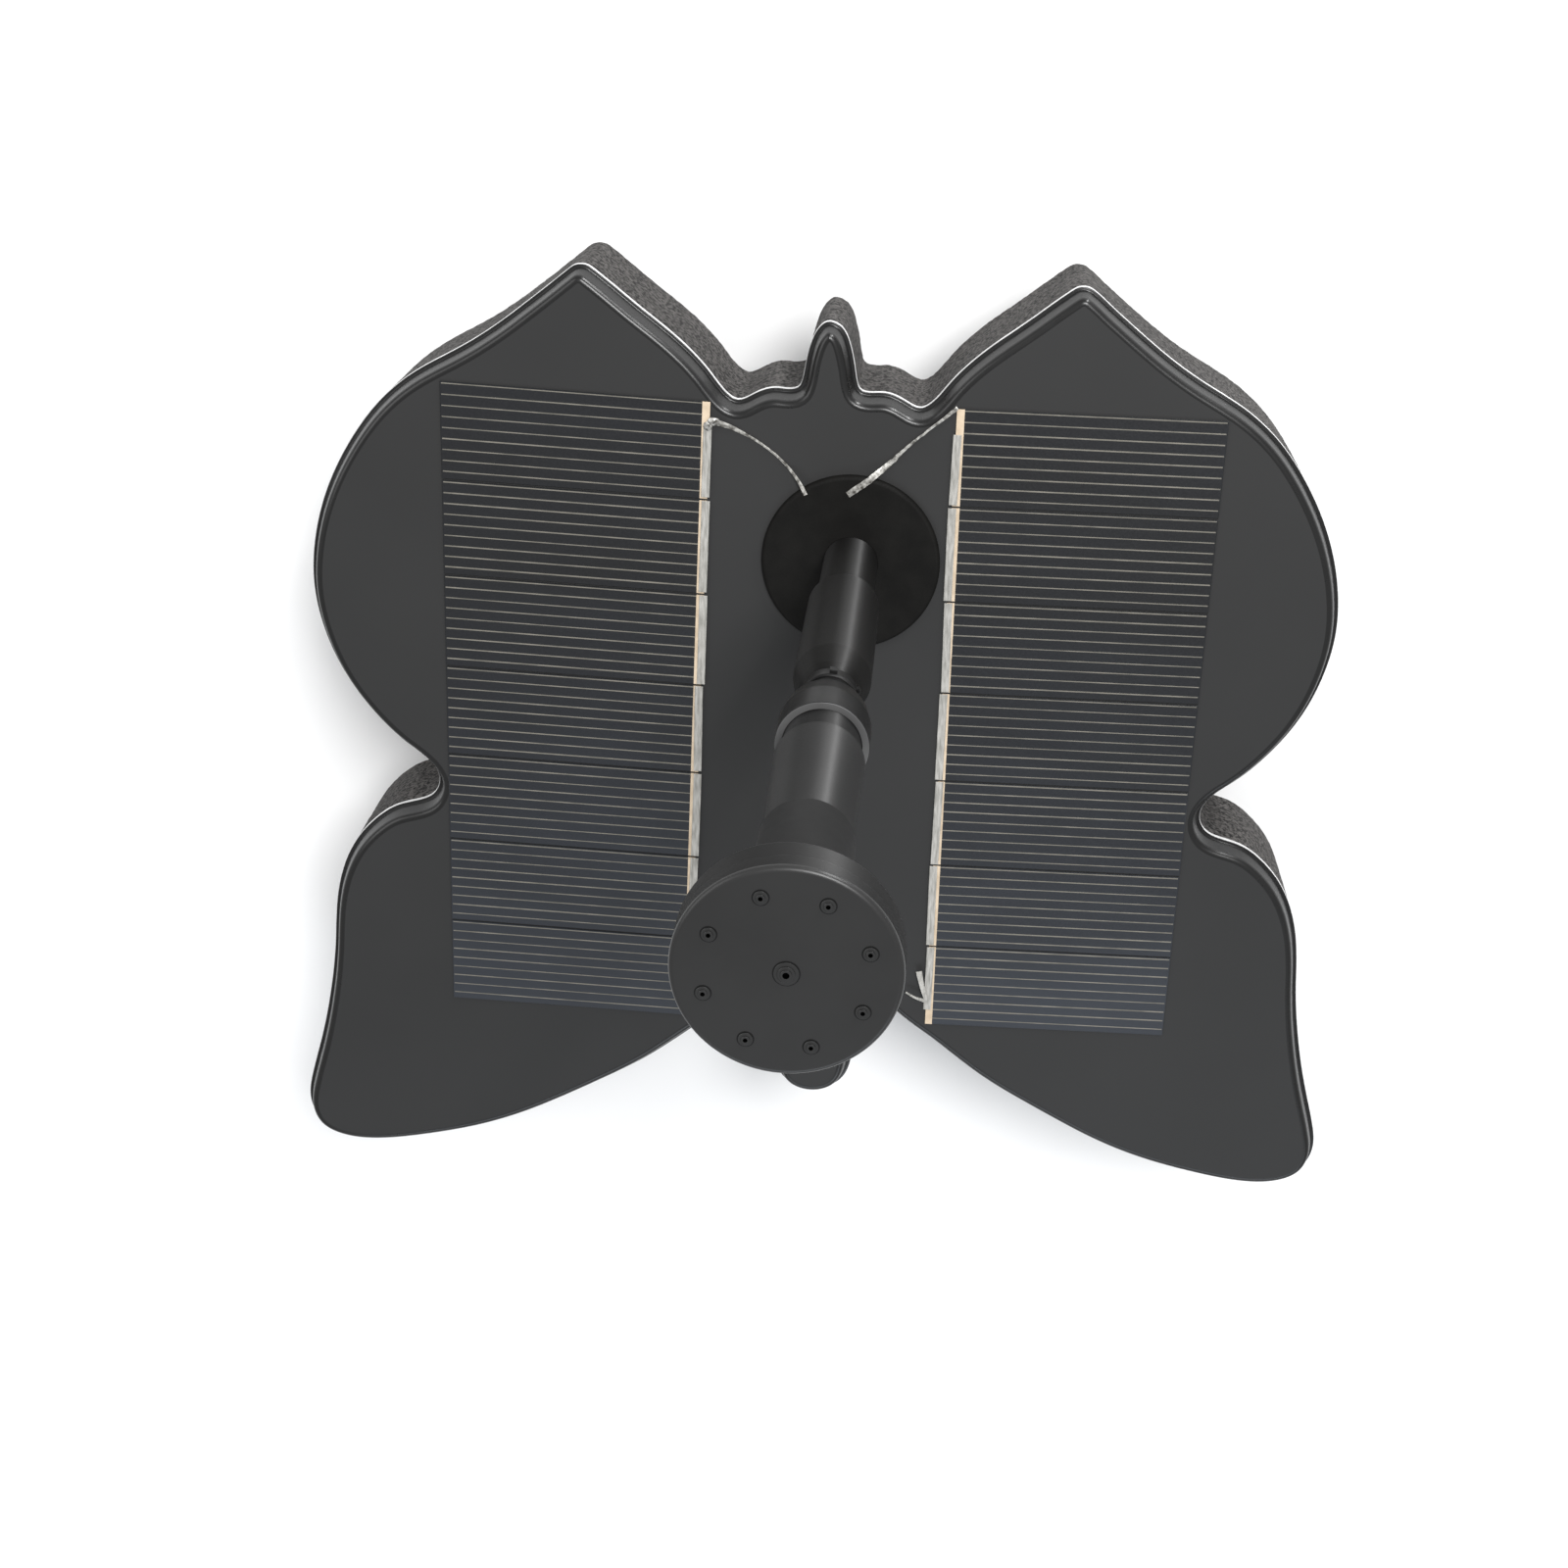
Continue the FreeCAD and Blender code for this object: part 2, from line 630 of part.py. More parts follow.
def pump_housing():
    """Motor shell, rotor can, volute and outlet boss in one moulding, with screw lugs."""
    shell = block("housing_shell", ("0 - housing_half", "housing_back", HOUSING_LOW),
                  ("housing_half", VOLUTE_FRONT, HOUSING_HIGH))
    boss = rod("housing_boss", ("hub_x", "hub_y", HOUSING_HIGH), "boss_radius",
               f"boss_top - {HOUSING_HIGH}")
    lugs = [
        block(f"lug{n}", (min(x, x / 1.6), y - 4.0, f"{PLATE_LOW} - lug_thick"),
              (max(x, x / 1.6), y + 4.0, f"{PLATE_LOW} - 0.05"))
        for n, (x, y) in enumerate(LUG_SCREWS)
    ]
    rounds = [rod(f"lug_end{n}", (x, y, f"{PLATE_LOW} - lug_thick"), "lug_round",
                  "lug_thick - 0.05")
              for n, (x, y) in enumerate(LUG_SCREWS)]
    solid = join("housing_solid", [shell, boss] + lugs + rounds)
    motor = rod("motor_space", (0, "housing_back - 1", "shaft_z"), "motor_bore",
                f"{VOLUTE_BACK} - 4 - housing_back + 1", "y")
    can = rod("can_wall", (0, 3, "shaft_z"), "can_radius", VOLUTE_BACK, "y")
    motor_space = cut("motor_space_round_can", motor, [can])
    rotor_space = rod("rotor_space", (0, 4.4, "shaft_z"), "can_bore", 50, "y")
    seat = rod("bush_seat", (0, 4.3, "shaft_z"), 3.4, 2.7, "y")
    seat_hole = rod("bush_seat_hole", (0, 4.35, "shaft_z"), 2.42, 4, "y")
    volute = rod("volute_space", (0, VOLUTE_BACK, "shaft_z"), "volute_radius", 20, "y")
    outlet = rod("outlet_hole", ("hub_x", "hub_y", "shaft_z + 4"), "spigot_bore", 40)
    socket = rod("outlet_socket", ("hub_x", "hub_y", "boss_top - 7"), bore, 20)
    groove = cut("seal_groove",
                 rod("groove_outer", (0, VOLUTE_FRONT + " - 0.8", "shaft_z"), 14.65, 3, "y"),
                 [rod("groove_inner", (0, VOLUTE_FRONT + " - 1.8", "shaft_z"), 13.25, 5, "y")])
    lead_hole = rod("lead_hole", (*LEAD_AT, "shaft_z + 8"), 1.9, 30)
    lug_holes = [rod(f"lug_hole{n}", (x, y, 0), 1.55, 30)
                 for n, (x, y) in enumerate(LUG_SCREWS)]
    cover_holes = [rod(f"cover_hole{n}", (x, f"{VOLUTE_FRONT} - 8", z), 1.05, 20, "y")
                   for n, (x, z) in enumerate(cover_screw_places())]
    hollow = cut("housing_hollow", solid,
                 [motor_space, rotor_space, volute, outlet, socket, groove, lead_hole]
                 + lug_holes + cover_holes)
    ring_seat = cut("bush_socket", seat, [seat_hole])
    return join("pump_housing", [hollow, ring_seat])


def cover_screw_places():
    reach = "(housing_half - 3.6)"
    return [(f"{i} * {reach}", f"shaft_z + {j} * ({reach} - 1.3)")
            for i in (-1, 1) for j in (-1, 1)]


def volute_cover():
    """Front plate with the suction eye, its spider and the seat of the front bush."""
    plate = block("cover_plate", ("0 - housing_half", VOLUTE_FRONT, HOUSING_LOW),
                  ("housing_half", f"{VOLUTE_FRONT} + cover_thick", HOUSING_HIGH))
    eye = rod("suction_eye", (0, f"{VOLUTE_FRONT} - 1", "shaft_z"), "eye_radius", 10, "y")
    holes = [rod(f"cover_bore{n}", (x, f"{VOLUTE_FRONT} - 1", z), 1.15, 10, "y")
             for n, (x, z) in enumerate(cover_screw_places())]
    holes += [rod(f"head_bore{n}", (x, f"{VOLUTE_FRONT} + cover_thick - 1.5", z), 2.1, 10, "y")
              for n, (x, z) in enumerate(cover_screw_places())]
    open_plate = cut("open_cover", plate, [eye] + holes)
    arms = []
    for number in range(3):
        arm = doc.addObject("Part::Box", f"arm{number}")
        bind(arm, Length=6, Width=1.4, Height="cover_thick - 0.4")
        turn = Rotation(Vector(0, 0, 1), number * 120)
        spin = Rotation(Vector(1, 0, 0), -90).multiply(turn)
        start = spin.multVec(Vector(2.6, -0.7, 0))
        arm.Placement = Placement(start, spin)
        place(arm, start.x, f"{VOLUTE_FRONT} + 0.2", f"shaft_z + {start.z:.6f}")
        arms.append(arm)
    seat = rod("front_seat", (0, VOLUTE_FRONT, "shaft_z"), 3.4, "cover_thick", "y")
    solid = join("cover_with_spider", [open_plate, seat] + arms)
    pocket = rod("front_pocket", (0, f"{VOLUTE_FRONT} - 1", "shaft_z"), 2.42, 2.85, "y")
    return cut("volute_cover", solid, [pocket])


node("pump_housing", pump_housing())
node("volute_cover", volute_cover())


def screw(name, start, radius, length, head_radius, head_tall, along="z", back=False):
    """A screw whose head lies just before its start, or just past its end if back is set."""
    shank = rod(name + "_shank", start, radius, length, along)
    axis = "xyz".index(along)
    head_at = list(start)
    head_at[axis] = f"{start[axis]} + {length}" if back else f"{start[axis]} - {head_tall}"
    head = rod(name + "_head", head_at, head_radius, head_tall, along)
    socket_at = list(head_at)
    socket_at[axis] = f"{head_at[axis]} + {head_tall} - 0.8" if back else f"{head_at[axis]} - 1"
    drive = rod(name + "_drive", socket_at, f"{head_radius} * 0.45", 1.8, along)
    return cut(name, join(name + "_solid", [shank, head]), [drive])


cover_screws = [screw(f"cover_screw{n}", (x, f"{VOLUTE_FRONT} + cover_thick - 7.5", z),
                      "1.0", "6.05", "1.9", "1.4", "y", back=True)
                for n, (x, z) in enumerate(cover_screw_places())]
node("cover_screws", group("cover_screws", cover_screws))
mount_screws = [screw(f"mount_screw{n}", (x, y, f"{PLATE_LOW} - lug_thick - 0.05"),
                      "screw_radius", "5.5", "screw_head", "screw_head_tall")
                for n, (x, y) in enumerate(LUG_SCREWS)]
node("mount_screws", group("mount_screws", mount_screws))
float_screws = [screw(f"float_screw{n}", (x, y, f"{PLATE_LOW} - 0.05"),
                      "screw_radius", "26.0", "screw_head", "screw_head_tall")
                for n, (x, y) in enumerate(FLOAT_SCREWS)]
node("float_screws", group("float_screws", float_screws))


# ---- lead between the circuit board and the pump -------------------------------------------

lead = rod("power_lead", (*LEAD_AT, "shaft_z + 9"), lead_radius,
           f"{TRAY_LOW} - 0.05 - shaft_z - 9")
node("power_lead", lead)
gland_body = rod("gland_body", (*LEAD_AT, f"{HOUSING_HIGH} + 0.05"), gland_radius, 3.4)
gland_neck = rod("gland_neck", (*LEAD_AT, f"{HOUSING_HIGH} - 4"), 1.85, 5)
gland_hole = rod("gland_hole", (*LEAD_AT, f"{HOUSING_HIGH} - 5"), lead_radius + gap, 20)
node("lead_gland", cut("lead_gland", join("gland_solid", [gland_body, gland_neck]), [gland_hole]))


# ---- mounting plate, strainer and sponge ---------------------------------------------------

def rounded_block(name, low, high, radius):
    """A box with its four upright edges rounded."""
    base = block(name + "_box", low, high)
    doc.recompute()
    item = doc.addObject("Part::Fillet", name)
    item.Base = base
    upright_edges = [
        i + 1 for i, edge in enumerate(base.Shape.Edges)
        if edge.BoundBox.XLength < 0.001 and edge.BoundBox.YLength < 0.001
    ]
    item.Edges = [(i, radius, radius) for i in upright_edges]
    return item


def mount_plate():
    """Plate that clamps the float to the tray and carries the pump and the strainer."""
    plate = rounded_block("plate_body", ("0 - plate_half_wide", "plate_low", PLATE_LOW),
                          ("plate_half_wide", "plate_high", "base_rise - 0.05"), 10)
    window = block("plate_window", ("0 - housing_half - 0.4", "housing_back - 0.4", 0),
                   ("housing_half + 0.4", f"{VOLUTE_FRONT} + cover_thick + 2", 60))
    holes = [rod(f"plate_hole{n}", (x, y, 0), 1.6, 60)
             for n, (x, y) in enumerate(FLOAT_SCREWS + LUG_SCREWS)]
    slots = [block(f"tab_slot{s}",
                   (f"{s} * (strainer_half - strainer_wall / 2) - 1.5", 12 - tab_half - 0.4, 0),
                   (f"{s} * (strainer_half - strainer_wall / 2) + 1.5", 12 + tab_half + 0.4, 60))
             for s in (-1, 1)]
    return cut("mount_plate", plate, [window] + holes + slots)


def strainer_base():
    """Slotted basket that snaps under the plate and is the foot the pump stands on."""
    rim = f"{PLATE_LOW} - 0.2"
    outer = rounded_block("basket_outer", ("0 - strainer_half", "strainer_low", 0),
                          ("strainer_half", "strainer_high", rim), 8)
    wall = "strainer_wall"
    inner = rounded_block("basket_inner",
                          (f"{wall} - strainer_half", f"strainer_low + {wall}", 1.5),
                          (f"strainer_half - {wall}", f"strainer_high - {wall}", 60), 6)
    basket = cut("basket", outer, [inner])
    half_count = int((value("strainer_high - strainer_low") / 2 - 12) / value("slot_pitch"))
    slots = []
    for n in range(-half_count, half_count + 1):
        middle = f"((strainer_low + strainer_high) / 2 + {n} * slot_pitch)"
        slots.append(block(f"side_slot{n + 50}", ("0 - 40", f"{middle} - slot_wide / 2", 4),
                           (40, f"{middle} + slot_wide / 2", 18)))
    half_count = int((value("strainer_half") - 10) / value("slot_pitch"))
    for n in range(-half_count, half_count + 1):
        slots.append(block(f"end_slot{n + 50}", (f"{n} * slot_pitch - slot_wide / 2", -60, 4),
                           (f"{n} * slot_pitch + slot_wide / 2", 80, 18)))
    slotted = cut("slotted_basket", basket, slots)
    tabs = [block(f"tab{s}",
                  (f"{s} * (strainer_half - {wall} / 2) - 0.9", 12 - tab_half, 18),
                  (f"{s} * (strainer_half - {wall} / 2) + 0.9", 12 + tab_half,
                   f"base_rise + {tab_reach}"))
            for s in (-1, 1)]
    return join("strainer_base", [slotted] + tabs)


node("mount_plate", mount_plate())
node("strainer_base", strainer_base())
sponge = rounded_block("filter_sponge",
                       (-25, f"{VOLUTE_FRONT} + cover_thick + 0.4", 1.8),
                       (25, "strainer_high - strainer_wall - 0.3", f"{PLATE_LOW} - 0.6"), 1.5)
node("filter_sponge", sponge)


# ---- check and write -----------------------------------------------------------------------

doc.recompute()
for item in doc.Objects:
    if "Invalid" in item.State or "Error" in item.State:
        raise RuntimeError(f"{item.Name} did not recompute: {item.State}")
os.makedirs("parts", exist_ok=True)
for item in nodes:
    if item.Shape.isNull() or not item.Shape.isValid() or not item.Shape.Solids:
        raise RuntimeError(f"{item.Label} has no valid shape")
    item.Shape.exportStep(f"parts/{item.Label}.step")
    print(f"{item.Label:18s} solids {len(item.Shape.Solids):2d} volume {item.Shape.Volume:10.1f}")
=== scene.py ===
"""Looks of the floating solar fountain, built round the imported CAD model.

Lengths named below are in millimetres; every Blender object is in metres.
"""
import json
import math
import random

import bmesh
import bpy
import numpy as np
from mathutils import Euler, Matrix, Vector, noise
from mathutils.geometry import delaunay_2d_cdt


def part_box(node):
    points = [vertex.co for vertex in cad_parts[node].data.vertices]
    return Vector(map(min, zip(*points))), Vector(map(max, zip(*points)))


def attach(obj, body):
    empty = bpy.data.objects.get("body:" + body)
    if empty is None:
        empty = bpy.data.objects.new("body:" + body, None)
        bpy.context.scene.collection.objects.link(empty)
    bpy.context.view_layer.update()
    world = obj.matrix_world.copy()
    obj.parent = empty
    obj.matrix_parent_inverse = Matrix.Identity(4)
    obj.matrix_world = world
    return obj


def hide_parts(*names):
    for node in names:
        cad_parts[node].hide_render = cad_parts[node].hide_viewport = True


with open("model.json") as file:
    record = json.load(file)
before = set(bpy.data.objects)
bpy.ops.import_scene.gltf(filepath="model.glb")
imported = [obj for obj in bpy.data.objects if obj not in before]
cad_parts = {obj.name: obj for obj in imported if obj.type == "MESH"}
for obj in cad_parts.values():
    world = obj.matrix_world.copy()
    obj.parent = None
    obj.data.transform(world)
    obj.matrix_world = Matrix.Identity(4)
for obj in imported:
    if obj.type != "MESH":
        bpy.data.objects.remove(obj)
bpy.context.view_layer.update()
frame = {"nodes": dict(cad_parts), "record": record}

MM = 0.001
ROUND_STEPS = 128        # sides of a turned piece
JET_STEPS = 40           # sides of a jet
OUTLINE_POINTS = 1400    # points round the butterfly
SPAN_STEPS = 24          # fine steps between two given points of a smooth path

# The tray's edge in section, as depth in from the outline and height above its underside. The
# wall's heights are then scaled, so that its rounding ends level with the tray's face.
LIP = [(1.6, 0.0), (0.14, 0.0), (0.0, 0.14), (0.0, 0.9), (0.08, 1.02), (0.2, 1.08), (0.5, 1.08)]
LIP_TO_WALL = [(0.62, 1.1), (0.7, 1.16)]
WALL_DEPTH = 0.75        # where the wall starts
WALL_FOOT = 1.3
WALL_TOP = 3.7           # where the centre of the rounding is
WALL_LEAN = math.radians(14)
RIM_RADIUS = 1.3
RIM_STEPS = 16
FLAT_DEPTH = 2.9         # where the flat face starts

CELLS = 7                # cells in each array
CELL_WIDE = 50.5
CELL_TALL = 18.8
CELL_PITCH = 19.16
CELL_THICK = 0.35
LEFT_ARRAY_TURN = -1.8   # degrees
CELL_LEAN = 0.08         # most degrees a cell leans towards the head or the tail
FINGERS = 9              # printed lines on each cell
FINGER_WIDE = 0.24
FINGER_START = 0.3       # from a cell's edge to its first line
FINGER_INSET = 0.25      # from a cell's sides to the ends of its lines
PAD_WIDE = 1.5
TAB_WIDE = 1.6
TAB_THICK = 0.24
TAB_SLEW = 0.9           # most degrees a tab lies askew
TAB_FIRST_GAP = 4.9      # bare pad above the tab of the cell nearest the head
TAB_LAST_GAP = 3.6       # bare pad below the tab of the cell nearest the tail

GRAIN_DEPTH = 0.16       # how deep the float's grain is
GRAIN_SIZE = 0.9
FOAM_ROWS = 30
FOAM_EDGE = 0.8          # radius of the float's edges

# The pocket under the float, round the pump.
POCKET_SIDE_GAP = 1.0
POCKET_BACK_GAP = 4.0
POCKET_FRONT_GAP = 2.0
POCKET_DEPTH = 16.0      # above the plate that carries the pump

JETS = 8                 # jets round the central one
JET_CIRCLE = 11.0        # radius of their circle
FIRST_JET = 107.7        # degrees round from the right wing
FACE_RISE = 3.28         # from the head's seam to its face
SPIGOT_INSET = 1.5       # from the head's side in to the spigot of its face
SPIGOT_TALL = 1.5        # how deep that spigot sits in the cup
CUP_TALL = 3.8           # upright side of the cup
CUP_WALL = 1.4


# ---- places taken from the frame ------------------------------------------------------------

hub_low, hub_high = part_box("hub_flange")
hub = (hub_low + hub_high) / 2
hub.z = hub_low.z
face_z = hub.z
foam_low, foam_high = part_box("float_foam")


def turned_box(node):
    """An upright node's radius, and its bottom and top above the tray's face, in millimetres."""
    low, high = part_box(node)
    return (high.x - low.x) / 2 / MM, (low.z - face_z) / MM, (high.z - face_z) / MM


# ---- materials ------------------------------------------------------------------------------

def link(tree, start, end):
    """Join an output to an input."""
    tree.links.new(start, end)


def new_material(name):
    """A material with its node tree and its shader."""
    made = bpy.data.materials.new(name)
    made.use_nodes = True
    return made, made.node_tree, made.node_tree.nodes["Principled BSDF"]


def noise_node(tree, size, detail=3.0, stretch=(1, 1, 1), roughness=0.5):
    """A noise whose features are about size millimetres, in the frame's own coordinates."""
    where = tree.nodes.new("ShaderNodeTexCoord")
    scale = tree.nodes.new("ShaderNodeMapping")
    scale.inputs["Scale"].default_value = stretch
    texture = tree.nodes.new("ShaderNodeTexNoise")
    texture.inputs["Scale"].default_value = 1 / (size * MM)
    texture.inputs["Detail"].default_value = detail
    texture.inputs["Roughness"].default_value = roughness
    link(tree, where.outputs["Object"], scale.inputs["Vector"])
    link(tree, scale.outputs["Vector"], texture.inputs["Vector"])
    return texture.outputs["Fac"]


def ramp(tree, source, stops):
    """A colour ramp with stops of (position, colour)."""
    node = tree.nodes.new("ShaderNodeValToRGB")
    elements = node.color_ramp.elements
    while len(elements) < len(stops):
        elements.new(0.5)
    for element, (position, colour) in zip(elements, stops):
        element.position = position
        element.color = (*colour, 1.0)
    link(tree, source, node.inputs["Fac"])
    return node.outputs["Color"]


def spread(tree, source, low, high, start=0.3, end=0.7):
    """The source mapped from start..end to low..high."""
    node = tree.nodes.new("ShaderNodeMapRange")
    for name, number in (("From Min", start), ("From Max", end), ("To Min", low), ("To Max", high)):
        node.inputs[name].default_value = number
    link(tree, source, node.inputs["Value"])
    return node.outputs["Result"]


def bumped(tree, shader, layers):
    """Bump from layers of (source, depth in millimetres, strength)."""
    normal = None
    for source, depth, strength in layers:
        bump = tree.nodes.new("ShaderNodeBump")
        bump.inputs["Distance"].default_value = depth * MM
        bump.inputs["Strength"].default_value = strength
        link(tree, source, bump.inputs["Height"])
        if normal is not None:
            link(tree, normal, bump.inputs["Normal"])
        normal = bump.outputs["Normal"]
    link(tree, normal, shader.inputs["Normal"])


def surface(name, dark, light, rough=(0.35, 0.45), mottle=6.0, grain=0.5, grain_depth=0.02,
            metallic=0.0, coat=0.0, specular=0.5, stretch=(1, 1, 1)):
    """A solid whose colour varies with a wide noise, and its roughness and grain with a fine one.

    mottle and grain are the sizes of the two noises, and grain_depth is the grain's depth.
    """
    made, tree, shader = new_material(name)
    wide = noise_node(tree, mottle, 4.0, stretch)
    fine = noise_node(tree, grain, 3.0, stretch)
    link(tree, ramp(tree, wide, [(0.35, dark), (0.65, light)]), shader.inputs["Base Color"])
    link(tree, spread(tree, fine, *rough), shader.inputs["Roughness"])
    if grain_depth:
        bumped(tree, shader, [(fine, grain_depth, 0.6)])
    shader.inputs["Metallic"].default_value = metallic
    shader.inputs["Coat Weight"].default_value = coat
    shader.inputs["Coat Roughness"].default_value = 0.1
    shader.inputs["Specular IOR Level"].default_value = specular
    return made


def turned_plastic(name, dark, light, rough, specular):
    """Plastic whose gloss runs in a narrow line up a turned piece."""
    made = surface(name, dark, light, rough, mottle=10, grain=0.3, grain_depth=0.001,
                   specular=specular)
    tree = made.node_tree
    shader = tree.nodes["Principled BSDF"]
    around = tree.nodes.new("ShaderNodeTangent")
    around.direction_type = "RADIAL"
    around.axis = "Z"
    link(tree, around.outputs["Tangent"], shader.inputs["Tangent"])
    shader.inputs["Anisotropic"].default_value = 1.0
    shader.inputs["Anisotropic Rotation"].default_value = 0.25
    return made


def grey(level, tint=(1.0, 1.0, 1.0)):
    """A grey of a level, slightly tinted."""
    return tuple(level * t for t in tint)


def foam_surface(name, dark, light, size):
    """Closed-cell foam: pale skins of the beads among dark pits."""
    made, tree, shader = new_material(name)
    grain = noise_node(tree, size, 4.0, roughness=0.7)
    speck = noise_node(tree, size * 0.45, 2.0)
    patches = noise_node(tree, size * 14, 3.0)
    mixed = tree.nodes.new("ShaderNodeMix")
    mixed.data_type = "RGBA"
    mixed.blend_type = "MULTIPLY"
    mixed.inputs["Factor"].default_value = 0.55
    link(tree, ramp(tree, grain, [(0.42, dark), (0.58, light)]), mixed.inputs["A"])
    link(tree, ramp(tree, patches, [(0.3, grey(0.72)), (0.7, grey(1.0))]), mixed.inputs["B"])
    link(tree, mixed.outputs["Result"], shader.inputs["Base Color"])
    bumped(tree, shader, [(grain, 0.25, 0.7), (speck, 0.08, 0.6)])
    shader.inputs["Roughness"].default_value = 0.85
    shader.inputs["Specular IOR Level"].default_value = 0.3
    return made


def cell_surface():
    """Blue-black silicon under a thin anti-reflection coat, with a painted reflection that makes it
    paler and bluer towards the tail.
    """
    made, tree, shader = new_material("silicon")
    wide = noise_node(tree, 30.0, 3.0, (0.5, 1.4, 1))
    fine = noise_node(tree, 0.35, 3.0)
    where = tree.nodes.new("ShaderNodeTexCoord")
    along = tree.nodes.new("ShaderNodeSeparateXYZ")
    link(tree, where.outputs["Object"], along.inputs["Vector"])
    # painted reflection: the colour is lifted towards the tail, standing in for the pale reflection
    # there
    tailward_painted_reflection = spread(tree, along.outputs["Y"], 0.55, 0.0, -60 * MM, 40 * MM)
    both = tree.nodes.new("ShaderNodeMath")
    both.operation = "MULTIPLY_ADD"
    both.inputs[1].default_value = 0.6
    link(tree, wide, both.inputs[0])
    link(tree, tailward_painted_reflection, both.inputs[2])
    link(tree, ramp(tree, both.outputs[0], [(0.2, (0.004, 0.004, 0.0045)),
                                            (0.45, (0.006, 0.0067, 0.0085)),
                                            (0.9, (0.018, 0.021, 0.027))]),
         shader.inputs["Base Color"])
    link(tree, spread(tree, fine, 0.3, 0.4), shader.inputs["Roughness"])
    bumped(tree, shader, [(fine, 0.006, 0.5)])
    shader.inputs["Coat Weight"].default_value = 0.2
    shader.inputs["Coat Roughness"].default_value = 0.22
    shader.inputs["Coat Tint"].default_value = (0.8, 0.88, 1.0, 1.0)
    return made


